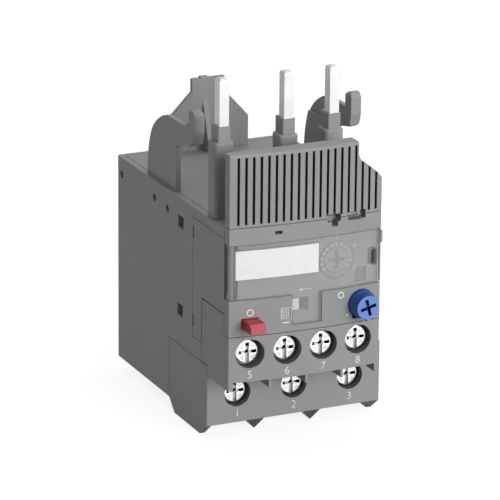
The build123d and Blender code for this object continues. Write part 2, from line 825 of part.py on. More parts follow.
# Adjusting lever under the cam, its axle and the compensation strip that it carries
axle_x = -6.0
axle_z = 40.0
axle_radius = 0.8
nose_top = dial_z - cam_middle - 0.1
with BuildPart() as adjusting_lever:
    rod(axle_x, axle_z, cam_front - 0.5, cam_back + 0.5, 1.8)
    with BuildSketch(front_plane(cam_front)):
        with BuildLine():
            Polyline(
                (axle_x, axle_z + 1.5),
                (dial_x - 2.2, nose_top - 1.0),
                (dial_x - 1.0, nose_top),
                (dial_x + 1.0, nose_top),
                (dial_x + 1.6, nose_top - 2.2),
                (axle_x, axle_z - 1.5),
                close=True,
            )
        make_face()
    extrude(amount=cam_front - cam_back)
    rod(axle_x, axle_z, cam_front - 1, cam_back + 1, axle_radius + running, Mode.SUBTRACT)
adjusting_lever.part.label = "adjusting_lever"
export_step(adjusting_lever.part, "parts/adjusting_lever.step")

with BuildPart() as adjusting_axle:
    rod(axle_x, axle_z, panel_depth + seam + wall, cam_back + 1.0, axle_radius)
adjusting_axle.part.label = "adjusting_axle"
export_step(adjusting_axle.part, "parts/adjusting_axle.step")

with BuildPart() as compensation_strip:
    block(-1.0, 2.0, cam_back, cam_back + 0.6, axle_z - 1.4, axle_z + 1.0)
    block(-1.0, -0.4, cam_back + 0.6, mechanism_depth - 1.8, axle_z - 1.4, axle_z + 1.0)
compensation_strip.part.label = "compensation_strip"
export_step(compensation_strip.part, "parts/compensation_strip.step")

# Reset: plunger that slides and knob that turns on it
knob_back = 1.6
knob_face = -5.4
knob_cap = 2.4
plunger_front = -1.2
plunger_end = 11.0
knob_shoulder = knob_base_radius - 0.15
knob_taper = math.degrees(math.atan((knob_shoulder - knob_face_radius) / knob_cap))
with BuildPart() as reset_plunger:
    rod(reset_x, reset_z, plunger_front, plunger_end, plunger_radius)
reset_plunger.part.label = "reset_plunger"
export_step(reset_plunger.part, "parts/reset_plunger.step")

with BuildPart() as reset_knob:
    rod(reset_x, reset_z, knob_face + knob_cap, knob_back, knob_base_radius)
    with BuildSketch(front_plane(knob_face + knob_cap)):
        with Locations((reset_x, reset_z)):
            Circle(knob_shoulder)
    extrude(amount=knob_cap, taper=knob_taper)
    rod(reset_x, reset_z, plunger_front, knob_back, plunger_radius + running, Mode.SUBTRACT)
    block(reset_x - 0.35, reset_x + 0.35, knob_face, knob_face + 1.8,
          reset_z - knob_base_radius, reset_z - knob_face_radius + 0.5)
    for turn in (15, 105):
        with BuildSketch(front_plane(knob_face)):
            with Locations((reset_x, reset_z)):
                Rectangle(4.0, 0.8, rotation=turn)
        extrude(amount=-1.2, mode=Mode.SUBTRACT)
reset_knob.part.label = "reset_knob"
export_step(reset_knob.part, "parts/reset_knob.step")

with BuildPart() as reset_spring:
    coil_spring(2.6, 0.4, reset_x, reset_z, knob_back + 0.05, knob_seat - 0.05, 4)
reset_spring.part.label = "reset_spring"
export_step(reset_spring.part, "parts/reset_spring.step")

# Stop button with its stem and spring
with BuildPart() as stop_button:
    block(stop_left, stop_right, -button_reach, panel_depth - 0.1, stop_low, stop_high)
    chamfer(stop_button.edges().filter_by(Axis.X).sort_by(Axis.Y)[:2].sort_by(Axis.Z)[-1],
            0.9)
    rod(stop_x, stop_z, panel_depth - 0.1, stop_stem_end, stem_radius)
stop_button.part.label = "stop_button"
export_step(stop_button.part, "parts/stop_button.step")

with BuildPart() as stop_spring:
    coil_spring(1.2, 0.3, stop_x, stop_z, panel_depth - 0.05, spring_seat - 0.05, 4)
stop_spring.part.label = "stop_spring"
export_step(stop_spring.part, "parts/stop_spring.step")

# Test slide behind the clear tab
test_front = bow((test_left + test_right) / 2) + recess + 0.1
test_stem_end = 12.0
with BuildPart() as test_slide:
    block(test_left, test_right, test_front, panel_depth + 0.2, test_low, test_high)
    block(test_left - 0.4, test_right + 0.4, panel_depth + 0.2, test_pocket - 0.2,
          test_low - 0.6, test_high + 0.6)
    block(test_left + 0.5, test_right - 0.5, test_pocket - 0.2, test_stem_end,
          test_high - 0.5, test_high + 0.5)
test_slide.part.label = "test_slide"
export_step(test_slide.part, "parts/test_slide.step")

# Trip slides that the three strips push, with a window for each strip
window_half = 0.8
window_front = strip_depth - 0.4
window_back = strip_depth + strip_width + 1.4


def cut_strip_windows(low, high):
    """Openings for the strips and the heater tails beside them."""
    for pole in pole_places:
        block(pole - window_half, pole + window_half, window_front, window_back, low, high,
              Mode.SUBTRACT)


slide_high = slide_low + slide_thick
upper_low = slide_high + slide_gap
peg_radius = 0.7
peg_low = slide_low - 1.9
slide_neck = 37.0
with BuildPart() as trip_slide:
    block(-slide_half, slide_half, slide_neck, slide_back, slide_low, slide_high)
    block(lever_x - 2.5, lever_x + 2.5, slide_front, slide_neck, slide_low, slide_high)
    cut_strip_windows(slide_low, slide_high)
    post(lever_x, lever_depth + lever_arm, peg_low, slide_low, peg_radius)
trip_slide.part.label = "trip_slide"
export_step(trip_slide.part, "parts/trip_slide.step")

with BuildPart() as phase_loss_slide:
    block(-slide_half, slide_half, slide_neck + 1.0, slide_back, upper_low,
          upper_low + slide_thick)
    cut_strip_windows(upper_low, upper_low + slide_thick)
phase_loss_slide.part.label = "phase_loss_slide"
export_step(phase_loss_slide.part, "parts/phase_loss_slide.step")

# Trip lever: bell crank on an upright pin, from the slide's peg to the contact bar
crank_low = 33.2
crank_high = 42.6
with BuildPart() as trip_lever:
    post(lever_x, lever_depth, crank_low, crank_high, 1.7)
    block(lever_x - 1.3, lever_x + 1.3, lever_depth, lever_depth + lever_arm + 1.6,
          crank_high - 1.3, crank_high)
    block(lever_x - peg_radius - fit, lever_x + peg_radius + fit,
          lever_depth + lever_arm - 1.3, lever_depth + lever_arm + 1.7,
          crank_high - 1.3, crank_high, Mode.SUBTRACT)
    block(lever_x - lever_arm - 1.2, lever_x, lever_depth - 1.0, lever_depth + 1.0,
          crank_low, crank_low + 1.2)
    post(lever_x - lever_arm, lever_depth, bar_low + 0.4, crank_low, peg_radius)
    post(lever_x, lever_depth, crank_low, crank_high, lever_pin_radius + running,
         Mode.SUBTRACT)
trip_lever.part.label = "trip_lever"
export_step(trip_lever.part, "parts/trip_lever.step")

with BuildPart() as trip_lever_pin:
    post(lever_x, lever_depth, contact_floor - 0.75, boss_low + 1.9, lever_pin_radius)
trip_lever_pin.part.label = "trip_lever_pin"
export_step(trip_lever_pin.part, "parts/trip_lever_pin.step")

# Contact bar with the two bridging contacts and its return spring
pad_radius = 1.1
pad_thick = 0.4
bridge_thick = 0.4
upstand_thick = 1.0
closed_upstand = 11.0
open_upstand = 13.0
closed_bridge = closed_upstand + upstand_thick + 2 * pad_thick + 0.05
open_bridge = open_upstand - 2 * pad_thick - slide_travel - bridge_thick
neck_x = (aux_places[2] + aux_places[3]) / 2
standoff_x = (aux_places[0] + aux_places[1]) / 2
with BuildPart() as contact_bar:
    block(standoff_x - 2.5, neck_x + 1.2, bar_depth, bar_depth + bar_thick, bar_low,
          bar_high)
    block(standoff_x - 1.5, standoff_x + 1.5, closed_bridge + bridge_thick, bar_depth,
          bar_low, bar_high)
    block(neck_x - 1.2, neck_x + 1.2, open_bridge + bridge_thick, bar_depth, bar_low,
          bar_high)
    block(lever_x - lever_arm - 1.9, lever_x - lever_arm + 1.9, bar_depth + bar_thick,
          lever_depth + 1.7, bar_high - 1.0, bar_high)
    block(lever_x - lever_arm - peg_radius - 0.4, lever_x - lever_arm + peg_radius + 0.4,
          lever_depth - peg_radius - fit, lever_depth + peg_radius + fit, bar_high - 1.0,
          bar_high, Mode.SUBTRACT)
contact_bar.part.label = "contact_bar"
export_step(contact_bar.part, "parts/contact_bar.step")

with BuildPart() as closed_contact:
    block(aux_places[0] - 1.3, aux_places[1] + 1.3, closed_bridge,
          closed_bridge + bridge_thick, contact_height - 0.7, contact_height + 1.2)
    for place in aux_places[:2]:
        rod(place, contact_height, closed_bridge - pad_thick, closed_bridge, pad_radius)
closed_contact.part.label = "closed_contact"
export_step(closed_contact.part, "parts/closed_contact.step")

with BuildPart() as open_contact:
    block(aux_places[2] - 1.3, aux_places[3] + 1.3, open_bridge,
          open_bridge + bridge_thick, contact_height - 0.7, contact_height + 1.2)
    for place in aux_places[2:]:
        rod(place, contact_height, open_bridge + bridge_thick,
            open_bridge + bridge_thick + pad_thick, pad_radius)
open_contact.part.label = "open_contact"
export_step(open_contact.part, "parts/open_contact.step")

with BuildPart() as contact_spring:
    coil_spring(1.1, 0.3, standoff_x + 1, bar_low + 1.2, bar_depth + bar_thick + 0.05,
                seat_depth - 0.05, 3)
contact_spring.part.label = "contact_spring"
export_step(contact_spring.part, "parts/contact_spring.step")

# Auxiliary terminals: screw, clamp washer and fixed plate, one set for each place
head_thick = 3.0
washer_thick = 0.9
washer_half = chamber_half - 0.4
aux_shank_end = 10.2


def cut_drive(x, z, face, head_radius, width, depth):
    """Cross recess of a screw head, with a slot that runs out at the lower rim."""
    for turn in (0, 90):
        with BuildSketch(front_plane(face)) as arms:
            with Locations((x, z)):
                Rectangle(1.3 * head_radius, width, rotation=turn)
        extrude(arms.sketch, amount=-depth, mode=Mode.SUBTRACT)
    block(x - width / 2, x + width / 2, face - 1, face + depth / 2, z - head_radius - 1, z,
          Mode.SUBTRACT)


wire_gap = 2.2
plate_thick = 1.0
plate_high = chamber_top - 0.1
for number, place in enumerate(aux_places, start=1):
    head_depth = bow(place) + aux_head_inset
    washer_depth = head_depth + head_thick
    plate_depth = washer_depth + washer_thick + wire_gap
    closed = number < 3
    upstand = closed_upstand if closed else open_upstand
    with BuildPart() as aux_screw:
        rod(place, aux_height, head_depth, washer_depth, aux_head_radius)
        rod(place, aux_height, washer_depth, aux_shank_end, aux_shank_radius)
        cut_drive(place, aux_height, head_depth, aux_head_radius, 0.8, 1.4)
    aux_screw.part.label = f"aux_screw_{number}"
    export_step(aux_screw.part, f"parts/aux_screw_{number}.step")

    with BuildPart() as aux_washer:
        block(place - washer_half, place + washer_half, washer_depth,
              washer_depth + washer_thick, aux_height - 3.2, aux_height + 3.2)
        rod(place, aux_height, washer_depth - 1, washer_depth + 2,
            aux_shank_radius + running, Mode.SUBTRACT)
    aux_washer.part.label = f"aux_washer_{number}"
    export_step(aux_washer.part, f"parts/aux_washer_{number}.step")

    with BuildPart() as aux_plate:
        block(place - washer_half - 0.1, place + washer_half + 0.1, plate_depth,
              plate_depth + plate_thick, aux_height - 4.0, plate_high)
        block(place - 2.2, place + 2.2, plate_depth, upstand + upstand_thick,
              plate_high - plate_thick, plate_high)
        block(place - 2.2, place + 2.2, upstand, upstand + upstand_thick,
              plate_high - plate_thick, contact_height + 1.5)
        pad_front = upstand + upstand_thick if closed else upstand - pad_thick
        rod(place, contact_height, pad_front, pad_front + pad_thick, pad_radius)
        rod(place, aux_height, plate_depth - 1, plate_depth + 2,
            aux_shank_radius + running, Mode.SUBTRACT)
    aux_plate.part.label = f"aux_plate_{number}"
    export_step(aux_plate.part, f"parts/aux_plate_{number}.step")

# Each pole: plug-in pin, heated strip, heater winding, busbar, clamp cage and screw
bar_top = plate_low - 0.2
bar_under = bar_top - busbar_thickness
bar_half = 1.6
bend_front = mechanism_depth + 2.1
bend_back = 33.0
foot_back = strip_depth + strip_width + 1.0
cage_low = 4.5
cage_high = 14.5
cage_half = 4.6
cage_wall = 0.8
cage_front = screw_wall_back + 4.1
cage_front_wall = 1.8
cage_rear = cage_chamber_back - 1.5
busbar_front = cage_front + 1.9
cage_rear_wall = 1.2
ring_count = 7
ring_pitch = 3.0
for name, pole in zip(pin_places, pole_places):
    pin_x = pin_places[name]
    half = pin_width / 2
    with BuildPart() as contact_pin:
        with BuildSketch(Plane.XY.offset(bar_under)):
            with Locations((pin_x, at(pin_front + pin_thick / 2))):
                Rectangle(pin_width, pin_thick)
        extrude(amount=pin_top - bar_under)
        fillet(contact_pin.edges().group_by(Axis.Z)[-1], 0.8)
        with BuildSketch(Plane.XY.offset(bar_under)):
            with BuildLine():
                Polyline(
                    (pin_x - half, at(pin_front)),
                    (pin_x + half, at(pin_front)),
                    (pin_x + half, at(bend_front)),
                    (pole + bar_half, at(bend_back)),
                    (pole + bar_half, at(foot_back)),
                    (pole - bar_half, at(foot_back)),
                    (pole - bar_half, at(bend_back)),
                    (pin_x - half, at(bend_front)),
                    close=True,
                )
            make_face()
        extrude(amount=busbar_thickness)
        block(pole - bar_half, pole + bar_half, strip_depth, foot_back, pin_foot, bar_under)
    contact_pin.part.label = f"contact_pin_{name}"
    export_step(contact_pin.part, f"parts/contact_pin_{name}.step")

    with BuildPart() as bimetal_strip:
        block(pole - strip_thick / 2, pole + strip_thick / 2, strip_depth,
              strip_depth + strip_width, strip_root, strip_tip)
    bimetal_strip.part.label = f"bimetal_strip_{name}"
    export_step(bimetal_strip.part, f"parts/bimetal_strip_{name}.step")

    with BuildPart() as heater_winding:
        block(pole - 0.8, pole + 0.8, strip_depth - 0.4, strip_depth + strip_width + 0.4,
              heater_low, heater_high)
        for ring in range(ring_count):
            ring_low = heater_low + 1.0 + ring * ring_pitch
            block(pole - 1.4, pole + 1.4, strip_depth - 1.0, foot_back, ring_low,
                  ring_low + 1.8)
        block(pole - 0.4, pole + 0.4, strip_depth + strip_width + 0.05,
              foot_back, heater_high - 1.0, pin_foot - 0.3)
        block(pole - strip_thick / 2, pole + strip_thick / 2, strip_depth,
              strip_depth + strip_width, heater_low - 1.0, heater_high + 1.0, Mode.SUBTRACT)
    heater_winding.part.label = f"heater_winding_{name}"
    export_step(heater_winding.part, f"parts/heater_winding_{name}.step")

    with BuildPart() as busbar:
        block(pole - busbar_width / 2, pole + busbar_width / 2, busbar_front,
              busbar_front + busbar_thickness, cage_low + 0.5,
              busbar_low + busbar_thickness)
        block(pole - busbar_width / 2, pole + busbar_width / 2, busbar_front,
              strip_depth + strip_width, busbar_low, busbar_low + busbar_thickness)
    busbar.part.label = f"busbar_{name}"
    export_step(busbar.part, f"parts/busbar_{name}.step")

    with BuildPart() as clamp_cage:
        block(pole - cage_half, pole + cage_half, cage_front, cage_rear + cage_rear_wall,
              cage_low, cage_high)
        block(pole - cage_half + cage_wall, pole + cage_half - cage_wall,
              cage_front + cage_front_wall, cage_rear, cage_low, cage_high, Mode.SUBTRACT)
        rod(pole, pole_height, cage_front - 1, cage_front + cage_front_wall,
            main_shank_radius + running, Mode.SUBTRACT)
    clamp_cage.part.label = f"clamp_cage_{name}"
    export_step(clamp_cage.part, f"parts/clamp_cage_{name}.step")

    with BuildPart() as main_screw:
        rod(pole, pole_height, terminal_face + main_head_inset, shoulder_depth - 0.05,
            main_head_radius)
        rod(pole, pole_height, shoulder_depth - 0.05, busbar_front - 0.05,
            main_shank_radius)
        cut_drive(pole, pole_height, terminal_face + main_head_inset, main_head_radius,
                  0.8, 1.6)
    main_screw.part.label = f"main_screw_{name}"
    export_step(main_screw.part, f"parts/main_screw_{name}.step")
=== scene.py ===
"""Looks of the thermal overload relay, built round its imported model."""

import json
import math

import bpy
from mathutils import Matrix, Vector


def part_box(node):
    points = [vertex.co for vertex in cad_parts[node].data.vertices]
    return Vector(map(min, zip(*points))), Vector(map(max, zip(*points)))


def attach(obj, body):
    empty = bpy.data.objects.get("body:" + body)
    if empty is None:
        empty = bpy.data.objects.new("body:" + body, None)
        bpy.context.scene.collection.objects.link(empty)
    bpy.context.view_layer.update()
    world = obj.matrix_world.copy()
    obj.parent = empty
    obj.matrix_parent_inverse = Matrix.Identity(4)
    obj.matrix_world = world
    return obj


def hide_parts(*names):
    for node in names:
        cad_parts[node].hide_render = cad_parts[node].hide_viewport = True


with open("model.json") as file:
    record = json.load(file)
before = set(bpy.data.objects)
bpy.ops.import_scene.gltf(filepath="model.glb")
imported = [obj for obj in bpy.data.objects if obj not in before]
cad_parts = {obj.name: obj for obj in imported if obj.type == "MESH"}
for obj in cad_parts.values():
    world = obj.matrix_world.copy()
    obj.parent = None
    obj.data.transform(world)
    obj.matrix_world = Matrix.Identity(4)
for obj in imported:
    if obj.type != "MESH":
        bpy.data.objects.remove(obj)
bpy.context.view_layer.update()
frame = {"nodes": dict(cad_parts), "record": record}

MM = 0.001
NODES = frame["nodes"]
SLOT_OF_NODE = {s["node"]: s["material_slot"] for s in frame["record"]["subparts"]}
SIDES = ("left", "middle", "right")
AUX_COUNT = 4

# Places that the pieces share, in metres
BACK_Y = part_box("rear_housing")[1].y
FRONT_Y = BACK_Y - 65.6 * MM
BOW_RADIUS = 140 * MM
HALF_WIDTH = 22.5 * MM
RECESS = 1.35 * MM
DIAL_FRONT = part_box("setting_dial")[0].y
KNOB_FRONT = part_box("reset_knob")[0].y
KNOB_X = 10.65 * MM
KNOB_Z = 33.60 * MM
DIAL_X = KNOB_X - 6.08 * MM
DIAL_Z = 44.65 * MM


# Camera: the view of the photograph
AZIMUTH = math.radians(24.912)
ELEVATION = math.radians(18.417)
ROLL = math.radians(0.5314)
LENS = 276.3
SENSOR_WIDTH = 36
NEAREST, FARTHEST = 0.05, 20
DISTANCE = 925.13 * MM
AIM = Vector((0, 9.95, 30)) * MM
AIM_RIGHT = 1.236 * MM
AIM_UP = 4.960 * MM


def make_camera():
    right = Vector((math.cos(AZIMUTH), -math.sin(AZIMUTH), 0))
    forward = Vector((
        math.sin(AZIMUTH) * math.cos(ELEVATION),
        math.cos(AZIMUTH) * math.cos(ELEVATION),
        -math.sin(ELEVATION),
    ))
    up = right.cross(forward)
    right, up = (
        right * math.cos(ROLL) + up * math.sin(ROLL),
        up * math.cos(ROLL) - right * math.sin(ROLL),
    )
    camera = bpy.data.objects.new("camera", bpy.data.cameras.new("camera"))
    camera.data.lens = LENS
    camera.data.sensor_width = SENSOR_WIDTH
    camera.data.clip_start = NEAREST
    camera.data.clip_end = FARTHEST
    spot = AIM + right * AIM_RIGHT + up * AIM_UP - forward * DISTANCE
    turn = Matrix((right, up, -forward)).transposed()
    camera.matrix_world = Matrix.Translation(spot) @ turn.to_4x4()
    bpy.context.scene.collection.objects.link(camera)
    bpy.context.scene.camera = camera


# Light and floor. The camera sees white round the relay, also through the clear cover.
# Mirror rays see the mirror level and all other rays the sky level. Both fall off to the left.
WHITE_LEVEL = 1.0
SKY_LEVEL, SKY_LEAN = 0.495, 0.58
MIRROR_LEVEL, MIRROR_LEAN = 0.80, 0.30
FRONT_LAMP = {"spot": Vector((0.42, -1.55, 0.46)), "size": 0.9, "watts": 20.9}
TOP_LAMP = {"spot": Vector((0.15, 0.35, 1.6)), "size": 0.8, "watts": 4.5}
FLOOR_SIZE = 6.0
# Colour and glow are for the camera, mirrors and clear pieces, the bounce for other rays
FLOOR_COLOUR = (0.85, 0.85, 0.85, 1)
FLOOR_BOUNCE = (0.30, 0.30, 0.30, 1)
FLOOR_GLOW = 1.20
GLOW_SHARE = 0.72


def put(tree, kind, inputs=None, **settings):
    """New node with its settings; an input is a value or another node's output."""
    node = tree.nodes.new(kind)
    for name, value in settings.items():
        setattr(node, name, value)
    for name, value in (inputs or {}).items():
        socket = node.inputs[name]
        if isinstance(value, bpy.types.NodeSocket):
            tree.links.new(value, socket)
        else:
            socket.default_value = value
    return node


def calc(tree, operation, *values):
    """Output of a sum on numbers or fields."""
    return put(tree, "ShaderNodeMath", dict(enumerate(values)), operation=operation).outputs[0]


def times(tree, value, factor):
    return calc(tree, "MULTIPLY", value, factor)


def leaning_level(tree, level, lean):
    """Sky level that falls off towards the left of the relay."""
    place = tree.nodes.new("ShaderNodeTexCoord").outputs["Generated"]
    across = put(tree, "ShaderNodeSeparateXYZ", {0: place}).outputs["X"]
    return calc(tree, "MULTIPLY_ADD", across, level * lean, level)


def make_world():
    world = bpy.data.worlds.new("studio")
    world.use_nodes = True
    tree = world.node_tree
    tree.nodes.clear()
    path = tree.nodes.new("ShaderNodeLightPath")
    shown = put(tree, "ShaderNodeMix", {
        "Factor": path.outputs["Is Glossy Ray"], "A": leaning_level(tree, SKY_LEVEL, SKY_LEAN),
        "B": leaning_level(tree, MIRROR_LEVEL, MIRROR_LEAN)}, data_type="FLOAT")
    seen = calc(tree, "MAXIMUM", path.outputs["Is Camera Ray"],
                path.outputs["Is Transmission Ray"])
    final = put(tree, "ShaderNodeMix", {
        "Factor": seen, "A": shown.outputs["Result"], "B": WHITE_LEVEL}, data_type="FLOAT")
    background = put(tree, "ShaderNodeBackground", {
        "Color": (1, 1, 1, 1), "Strength": final.outputs["Result"]})
    output = tree.nodes.new("ShaderNodeOutputWorld")
    tree.links.new(background.outputs["Background"], output.inputs["Surface"])
    bpy.context.scene.world = world


def make_lamp(name, spot, size, watts):
    """Square lamp that looks at the relay."""
    lamp = bpy.data.lights.new(name, "AREA")
    lamp.shape = "SQUARE"
    lamp.size = size
    lamp.energy = watts
    holder = bpy.data.objects.new(name, lamp)
    holder.location = spot
    holder.rotation_mode = "QUATERNION"
    holder.rotation_quaternion = (AIM - spot).to_track_quat("-Z", "Y")
    bpy.context.scene.collection.objects.link(holder)


def make_floor():
    """Pale floor that shows as white to the camera and still takes the relay's shadow."""
    mesh = bpy.data.meshes.new("floor")
    half = FLOOR_SIZE / 2
    corners = [(-half, -half, 0), (half, -half, 0), (half, half, 0), (-half, half, 0)]
    mesh.from_pydata(corners, [], [(0, 1, 2, 3)])
    floor = bpy.data.objects.new("floor", mesh)
    bpy.context.scene.collection.objects.link(floor)
    material = bpy.data.materials.new("pale_floor")
    material.use_nodes = True
    tree = material.node_tree
    tree.nodes.clear()
    path = tree.nodes.new("ShaderNodeLightPath")
    seen = path.outputs["Is Camera Ray"]
    for name in ("Is Glossy Ray", "Is Transmission Ray"):
        seen = calc(tree, "MAXIMUM", seen, path.outputs[name])
    colour = put(tree, "ShaderNodeMix", {"Factor": seen, 6: FLOOR_BOUNCE, 7: FLOOR_COLOUR},
                 data_type="RGBA")
    diffuse = put(tree, "ShaderNodeBsdfDiffuse", {"Color": colour.outputs[2]})
    glow = put(tree, "ShaderNodeEmission", {"Strength": FLOOR_GLOW})
    mix = put(tree, "ShaderNodeMixShader", {
        "Fac": times(tree, seen, GLOW_SHARE), 1: diffuse.outputs[0], 2: glow.outputs[0]})
    output = tree.nodes.new("ShaderNodeOutputMaterial")
    tree.links.new(mix.outputs[0], output.inputs["Surface"])
    mesh.materials.append(material)


# Materials
# Most of a noise lies between these two levels
NOISE_LOW, NOISE_HIGH = 0.3, 0.7
# A band pattern of scale 1 repeats after this length, in metres
BAND_PERIOD = 0.314
# Height of the relief and radius of the softened edges
PLASTIC_GRAIN, PLASTIC_EDGE = 0.0025 * MM, 0.16 * MM
PLATE_LINES, PLATE_EDGE = 0.0006 * MM, 0.10 * MM
BEVEL_SAMPLES = 4


class Shader:
    """A Principled material whose patterns read Object coordinates."""

    def __init__(self, name, roughness, metallic=0.0):
        self.material = bpy.data.materials.new(name)
        self.material.use_nodes = True
        self.tree = self.material.node_tree
        self.surface = self.tree.nodes["Principled BSDF"]
        self.set("Metallic", metallic)
        self.set("Roughness", roughness)
        self.place = self.tree.nodes.new("ShaderNodeTexCoord").outputs["Object"]

    def set(self, name, value):
        self.surface.inputs[name].default_value = value

    def noise(self, scale, detail=3, stretch=(1, 1, 1)):
        mapping = put(self.tree, "ShaderNodeMapping", {"Vector": self.place, "Scale": stretch})
        return put(self.tree, "ShaderNodeTexNoise", {
            "Vector": mapping.outputs["Vector"], "Scale": scale,
            "Detail": detail}).outputs["Fac"]

    def spread(self, source, low, high):
        """Widens a noise, most of which lies between two levels, to low and high."""
        return put(self.tree, "ShaderNodeMapRange", {
            "Value": source, "From Min": NOISE_LOW, "From Max": NOISE_HIGH,
            "To Min": low, "To Max": high}).outputs["Result"]

    def clouds(self, scale, detail=3):
        return self.spread(self.noise(scale, detail), 0.0, 1.0)

    def colours(self, source, first, second):
        node = put(self.tree, "ShaderNodeMix", {
            "Factor": source, 6: (*first, 1), 7: (*second, 1)}, data_type="RGBA")
        self.tree.links.new(node.outputs[2], self.surface.inputs["Base Color"])

    def rough(self, source, low, high):
        self.tree.links.new(self.spread(source, low, high), self.surface.inputs["Roughness"])

    def bump(self, source, height, edge=0.0):
        """Relief of a height in metres, and softened edges where edge is given."""
        node = put(self.tree, "ShaderNodeBump", {
            "Strength": 1.0, "Distance": height, "Height": source})
        if edge:
            bevel = put(self.tree, "ShaderNodeBevel", {"Radius": edge}, samples=BEVEL_SAMPLES)
            self.tree.links.new(bevel.outputs["Normal"], node.inputs["Normal"])
        self.tree.links.new(node.outputs["Normal"], self.surface.inputs["Normal"])


def shade(colour, factor):
    return tuple(min(1.0, channel * factor) for channel in colour)


def moulded(name, colour, roughness, edge=PLASTIC_EDGE):
    """Injection-moulded plastic: slight flow clouds, spark-eroded grain and soft edges."""
    made = Shader(name, roughness)
    made.colours(made.clouds(scale=70, detail=4), shade(colour, 0.97), shade(colour, 1.03))
    made.rough(made.noise(scale=900), low=roughness - 0.06, high=roughness + 0.06)
    made.bump(made.noise(scale=4200, detail=2), PLASTIC_GRAIN, edge)
    made.set("Specular IOR Level", 0.35)
    return made.material


def plated(name, colour, roughness, stretch=(1, 1, 1), metallic=1.0):
    """Tin or zinc plate: cloudy brightness and fine lines of drawing."""
    made = Shader(name, roughness, metallic)
    made.colours(made.clouds(scale=260), shade(colour, 0.95), shade(colour, 1.03))
    streaks = made.noise(scale=1500, stretch=stretch)
    made.rough(streaks, low=roughness - 0.05, high=roughness + 0.07)
    made.bump(streaks, PLATE_LINES, PLATE_EDGE)
    return made.material


def clear_cover(name):
    """Clear cover with a faint haze, so that what lies behind shows softened."""
    made = Shader(name, roughness=0.2)
    made.colours(made.clouds(scale=90, detail=2), (0.56, 0.57, 0.58), (0.60, 0.61, 0.62))
    made.rough(made.noise(scale=500, detail=2), low=0.16, high=0.24)
    made.bump(made.noise(scale=900, detail=2), height=0.0012 * MM, edge=0.2 * MM)
    made.set("Alpha", 0.24)
    made.set("Coat Weight", 0.5)
    made.set("Coat Roughness", 0.12)
    return made.material


def label_film(name):
    """Pale writing film: faint paper mottling under a satin face."""
    made = Shader(name, roughness=0.5)
    made.colours(made.clouds(scale=700, detail=5), (0.76, 0.76, 0.78), (0.80, 0.80, 0.82))
    made.rough(made.noise(scale=1200, detail=2), low=0.42, high=0.56)
    made.bump(made.noise(scale=3000, detail=2), height=0.002 * MM)
    return made.material


def hatched(name, colour, dark, pitch):
    """Moulded face with a fine crossed hatch."""
    made = Shader(name, roughness=0.5)
    waves = [put(made.tree, "ShaderNodeTexWave", {
        "Vector": made.place, "Scale": BAND_PERIOD / pitch, "Distortion": 0.0},
        wave_type="BANDS", bands_direction=direction).outputs["Fac"] for direction in "XZ"]
    crossed = times(made.tree, *waves)
    made.colours(crossed, colour, dark)
    made.bump(crossed, height=0.01 * MM)
    return made.material


def print_ink(name, colour):
    """Pad-printed ink with slightly uneven cover."""
    made = Shader(name, roughness=0.55)
    made.colours(made.clouds(scale=1800), shade(colour, 0.9), colour)
    made.rough(made.noise(scale=2500, detail=2), low=0.48, high=0.62)
    return made.material


MATERIALS = {
    "shell_plastic": moulded("shell_grey", (0.272, 0.273, 0.274), 0.55),
    "clear_plastic": clear_cover("clear_cover"),
    "label": label_film("label_film"),
    "dial_plastic": moulded("dial_grey", (0.34, 0.34, 0.33), 0.45),
    "blue_plastic": moulded("reset_blue", (0.013, 0.068, 0.30), 0.35),
    "red_plastic": moulded("stop_red", (0.46, 0.030, 0.042), 0.38),
    "test_plastic": moulded("test_pale", (0.92, 0.92, 0.91), 0.45),
    "inner_plastic": moulded("inner_natural", (0.62, 0.60, 0.55), 0.5),
    "steel_pin": plated("ground_pin", (0.62, 0.62, 0.61), 0.3, stretch=(1, 1, 8)),
    "spring_steel": plated("drawn_wire", (0.55, 0.55, 0.56), 0.3),
    "bimetal": plated("rolled_strip", (0.62, 0.57, 0.48), 0.4, stretch=(1, 1, 8)),
    "heater_wire": plated("winding_wire", (0.48, 0.46, 0.42), 0.45),
    "contact_metal": plated("tin_plate", (0.71, 0.71, 0.725), 0.56, stretch=(6, 6, 1),
                            metallic=0.45),
    "screw_steel": plated("zinc_plate", (0.92, 0.92, 0.92), 0.22),
}
WHITE_INK = print_ink("white_ink", (0.80, 0.80, 0.79))
SCALE_INK = print_ink("scale_ink", (0.70, 0.70, 0.69))
# Painted shade: greyer zinc in the screws' cross recess and near-black deep in its wells
RECESS_SHADE = plated("recess_shade", (0.45, 0.45, 0.46), 0.35)
WELL_SHADE = plated("well_shade", (0.06, 0.06, 0.06), 0.4)
# Painted shade: darker grey on the walls of the screws' holes
BORE_PAINTED_SHADE = moulded("bore_painted_shade", (0.085, 0.085, 0.087), 0.6, edge=0.0)
# Painted shade: near-black inside the shield's slots, on the fronts of the terminal block's feet
# and on the plates in the hollows
SLOT_PAINTED_SHADE = moulded("slot_painted_shade", (0.048, 0.048, 0.049), 0.6, edge=0.0)
# Painted shade: dark grey in the panel's pocket and on the floor behind the dial's cross
POCKET_PAINTED_SHADE = moulded("pocket_painted_shade", (0.16, 0.16, 0.162), 0.55, edge=0.0)
# Painted light: a lighter copy of the knob's blue for its front face
RESET_PAINTED_LIT_FACE = moulded("reset_painted_lit_face", (0.15, 0.25, 0.62), 0.30)
# Painted shade: deeper blue inside the knob's cross slot
RESET_SLOT_PAINTED_SHADE = moulded("reset_slot_painted_shade", (0.003, 0.010, 0.10), 0.5, edge=0.0)
# Painted light: a lighter copy of the button's red for its front face
STOP_PAINTED_LIT_FACE = moulded("stop_painted_lit_face", (0.46, 0.10, 0.115), 0.30)
COVER_END = moulded("cover_end", (0.27, 0.27, 0.275), 0.4)
WINDOW_HATCH = hatched("window_hatch", (0.27, 0.27, 0.275), (0.62, 0.62, 0.63), 0.55 * MM)


def dress_nodes():
    """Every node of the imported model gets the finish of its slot."""
    for name, node in NODES.items():
        node.data.materials.clear()
        node.data.materials.append(MATERIALS[SLOT_OF_NODE[name]])
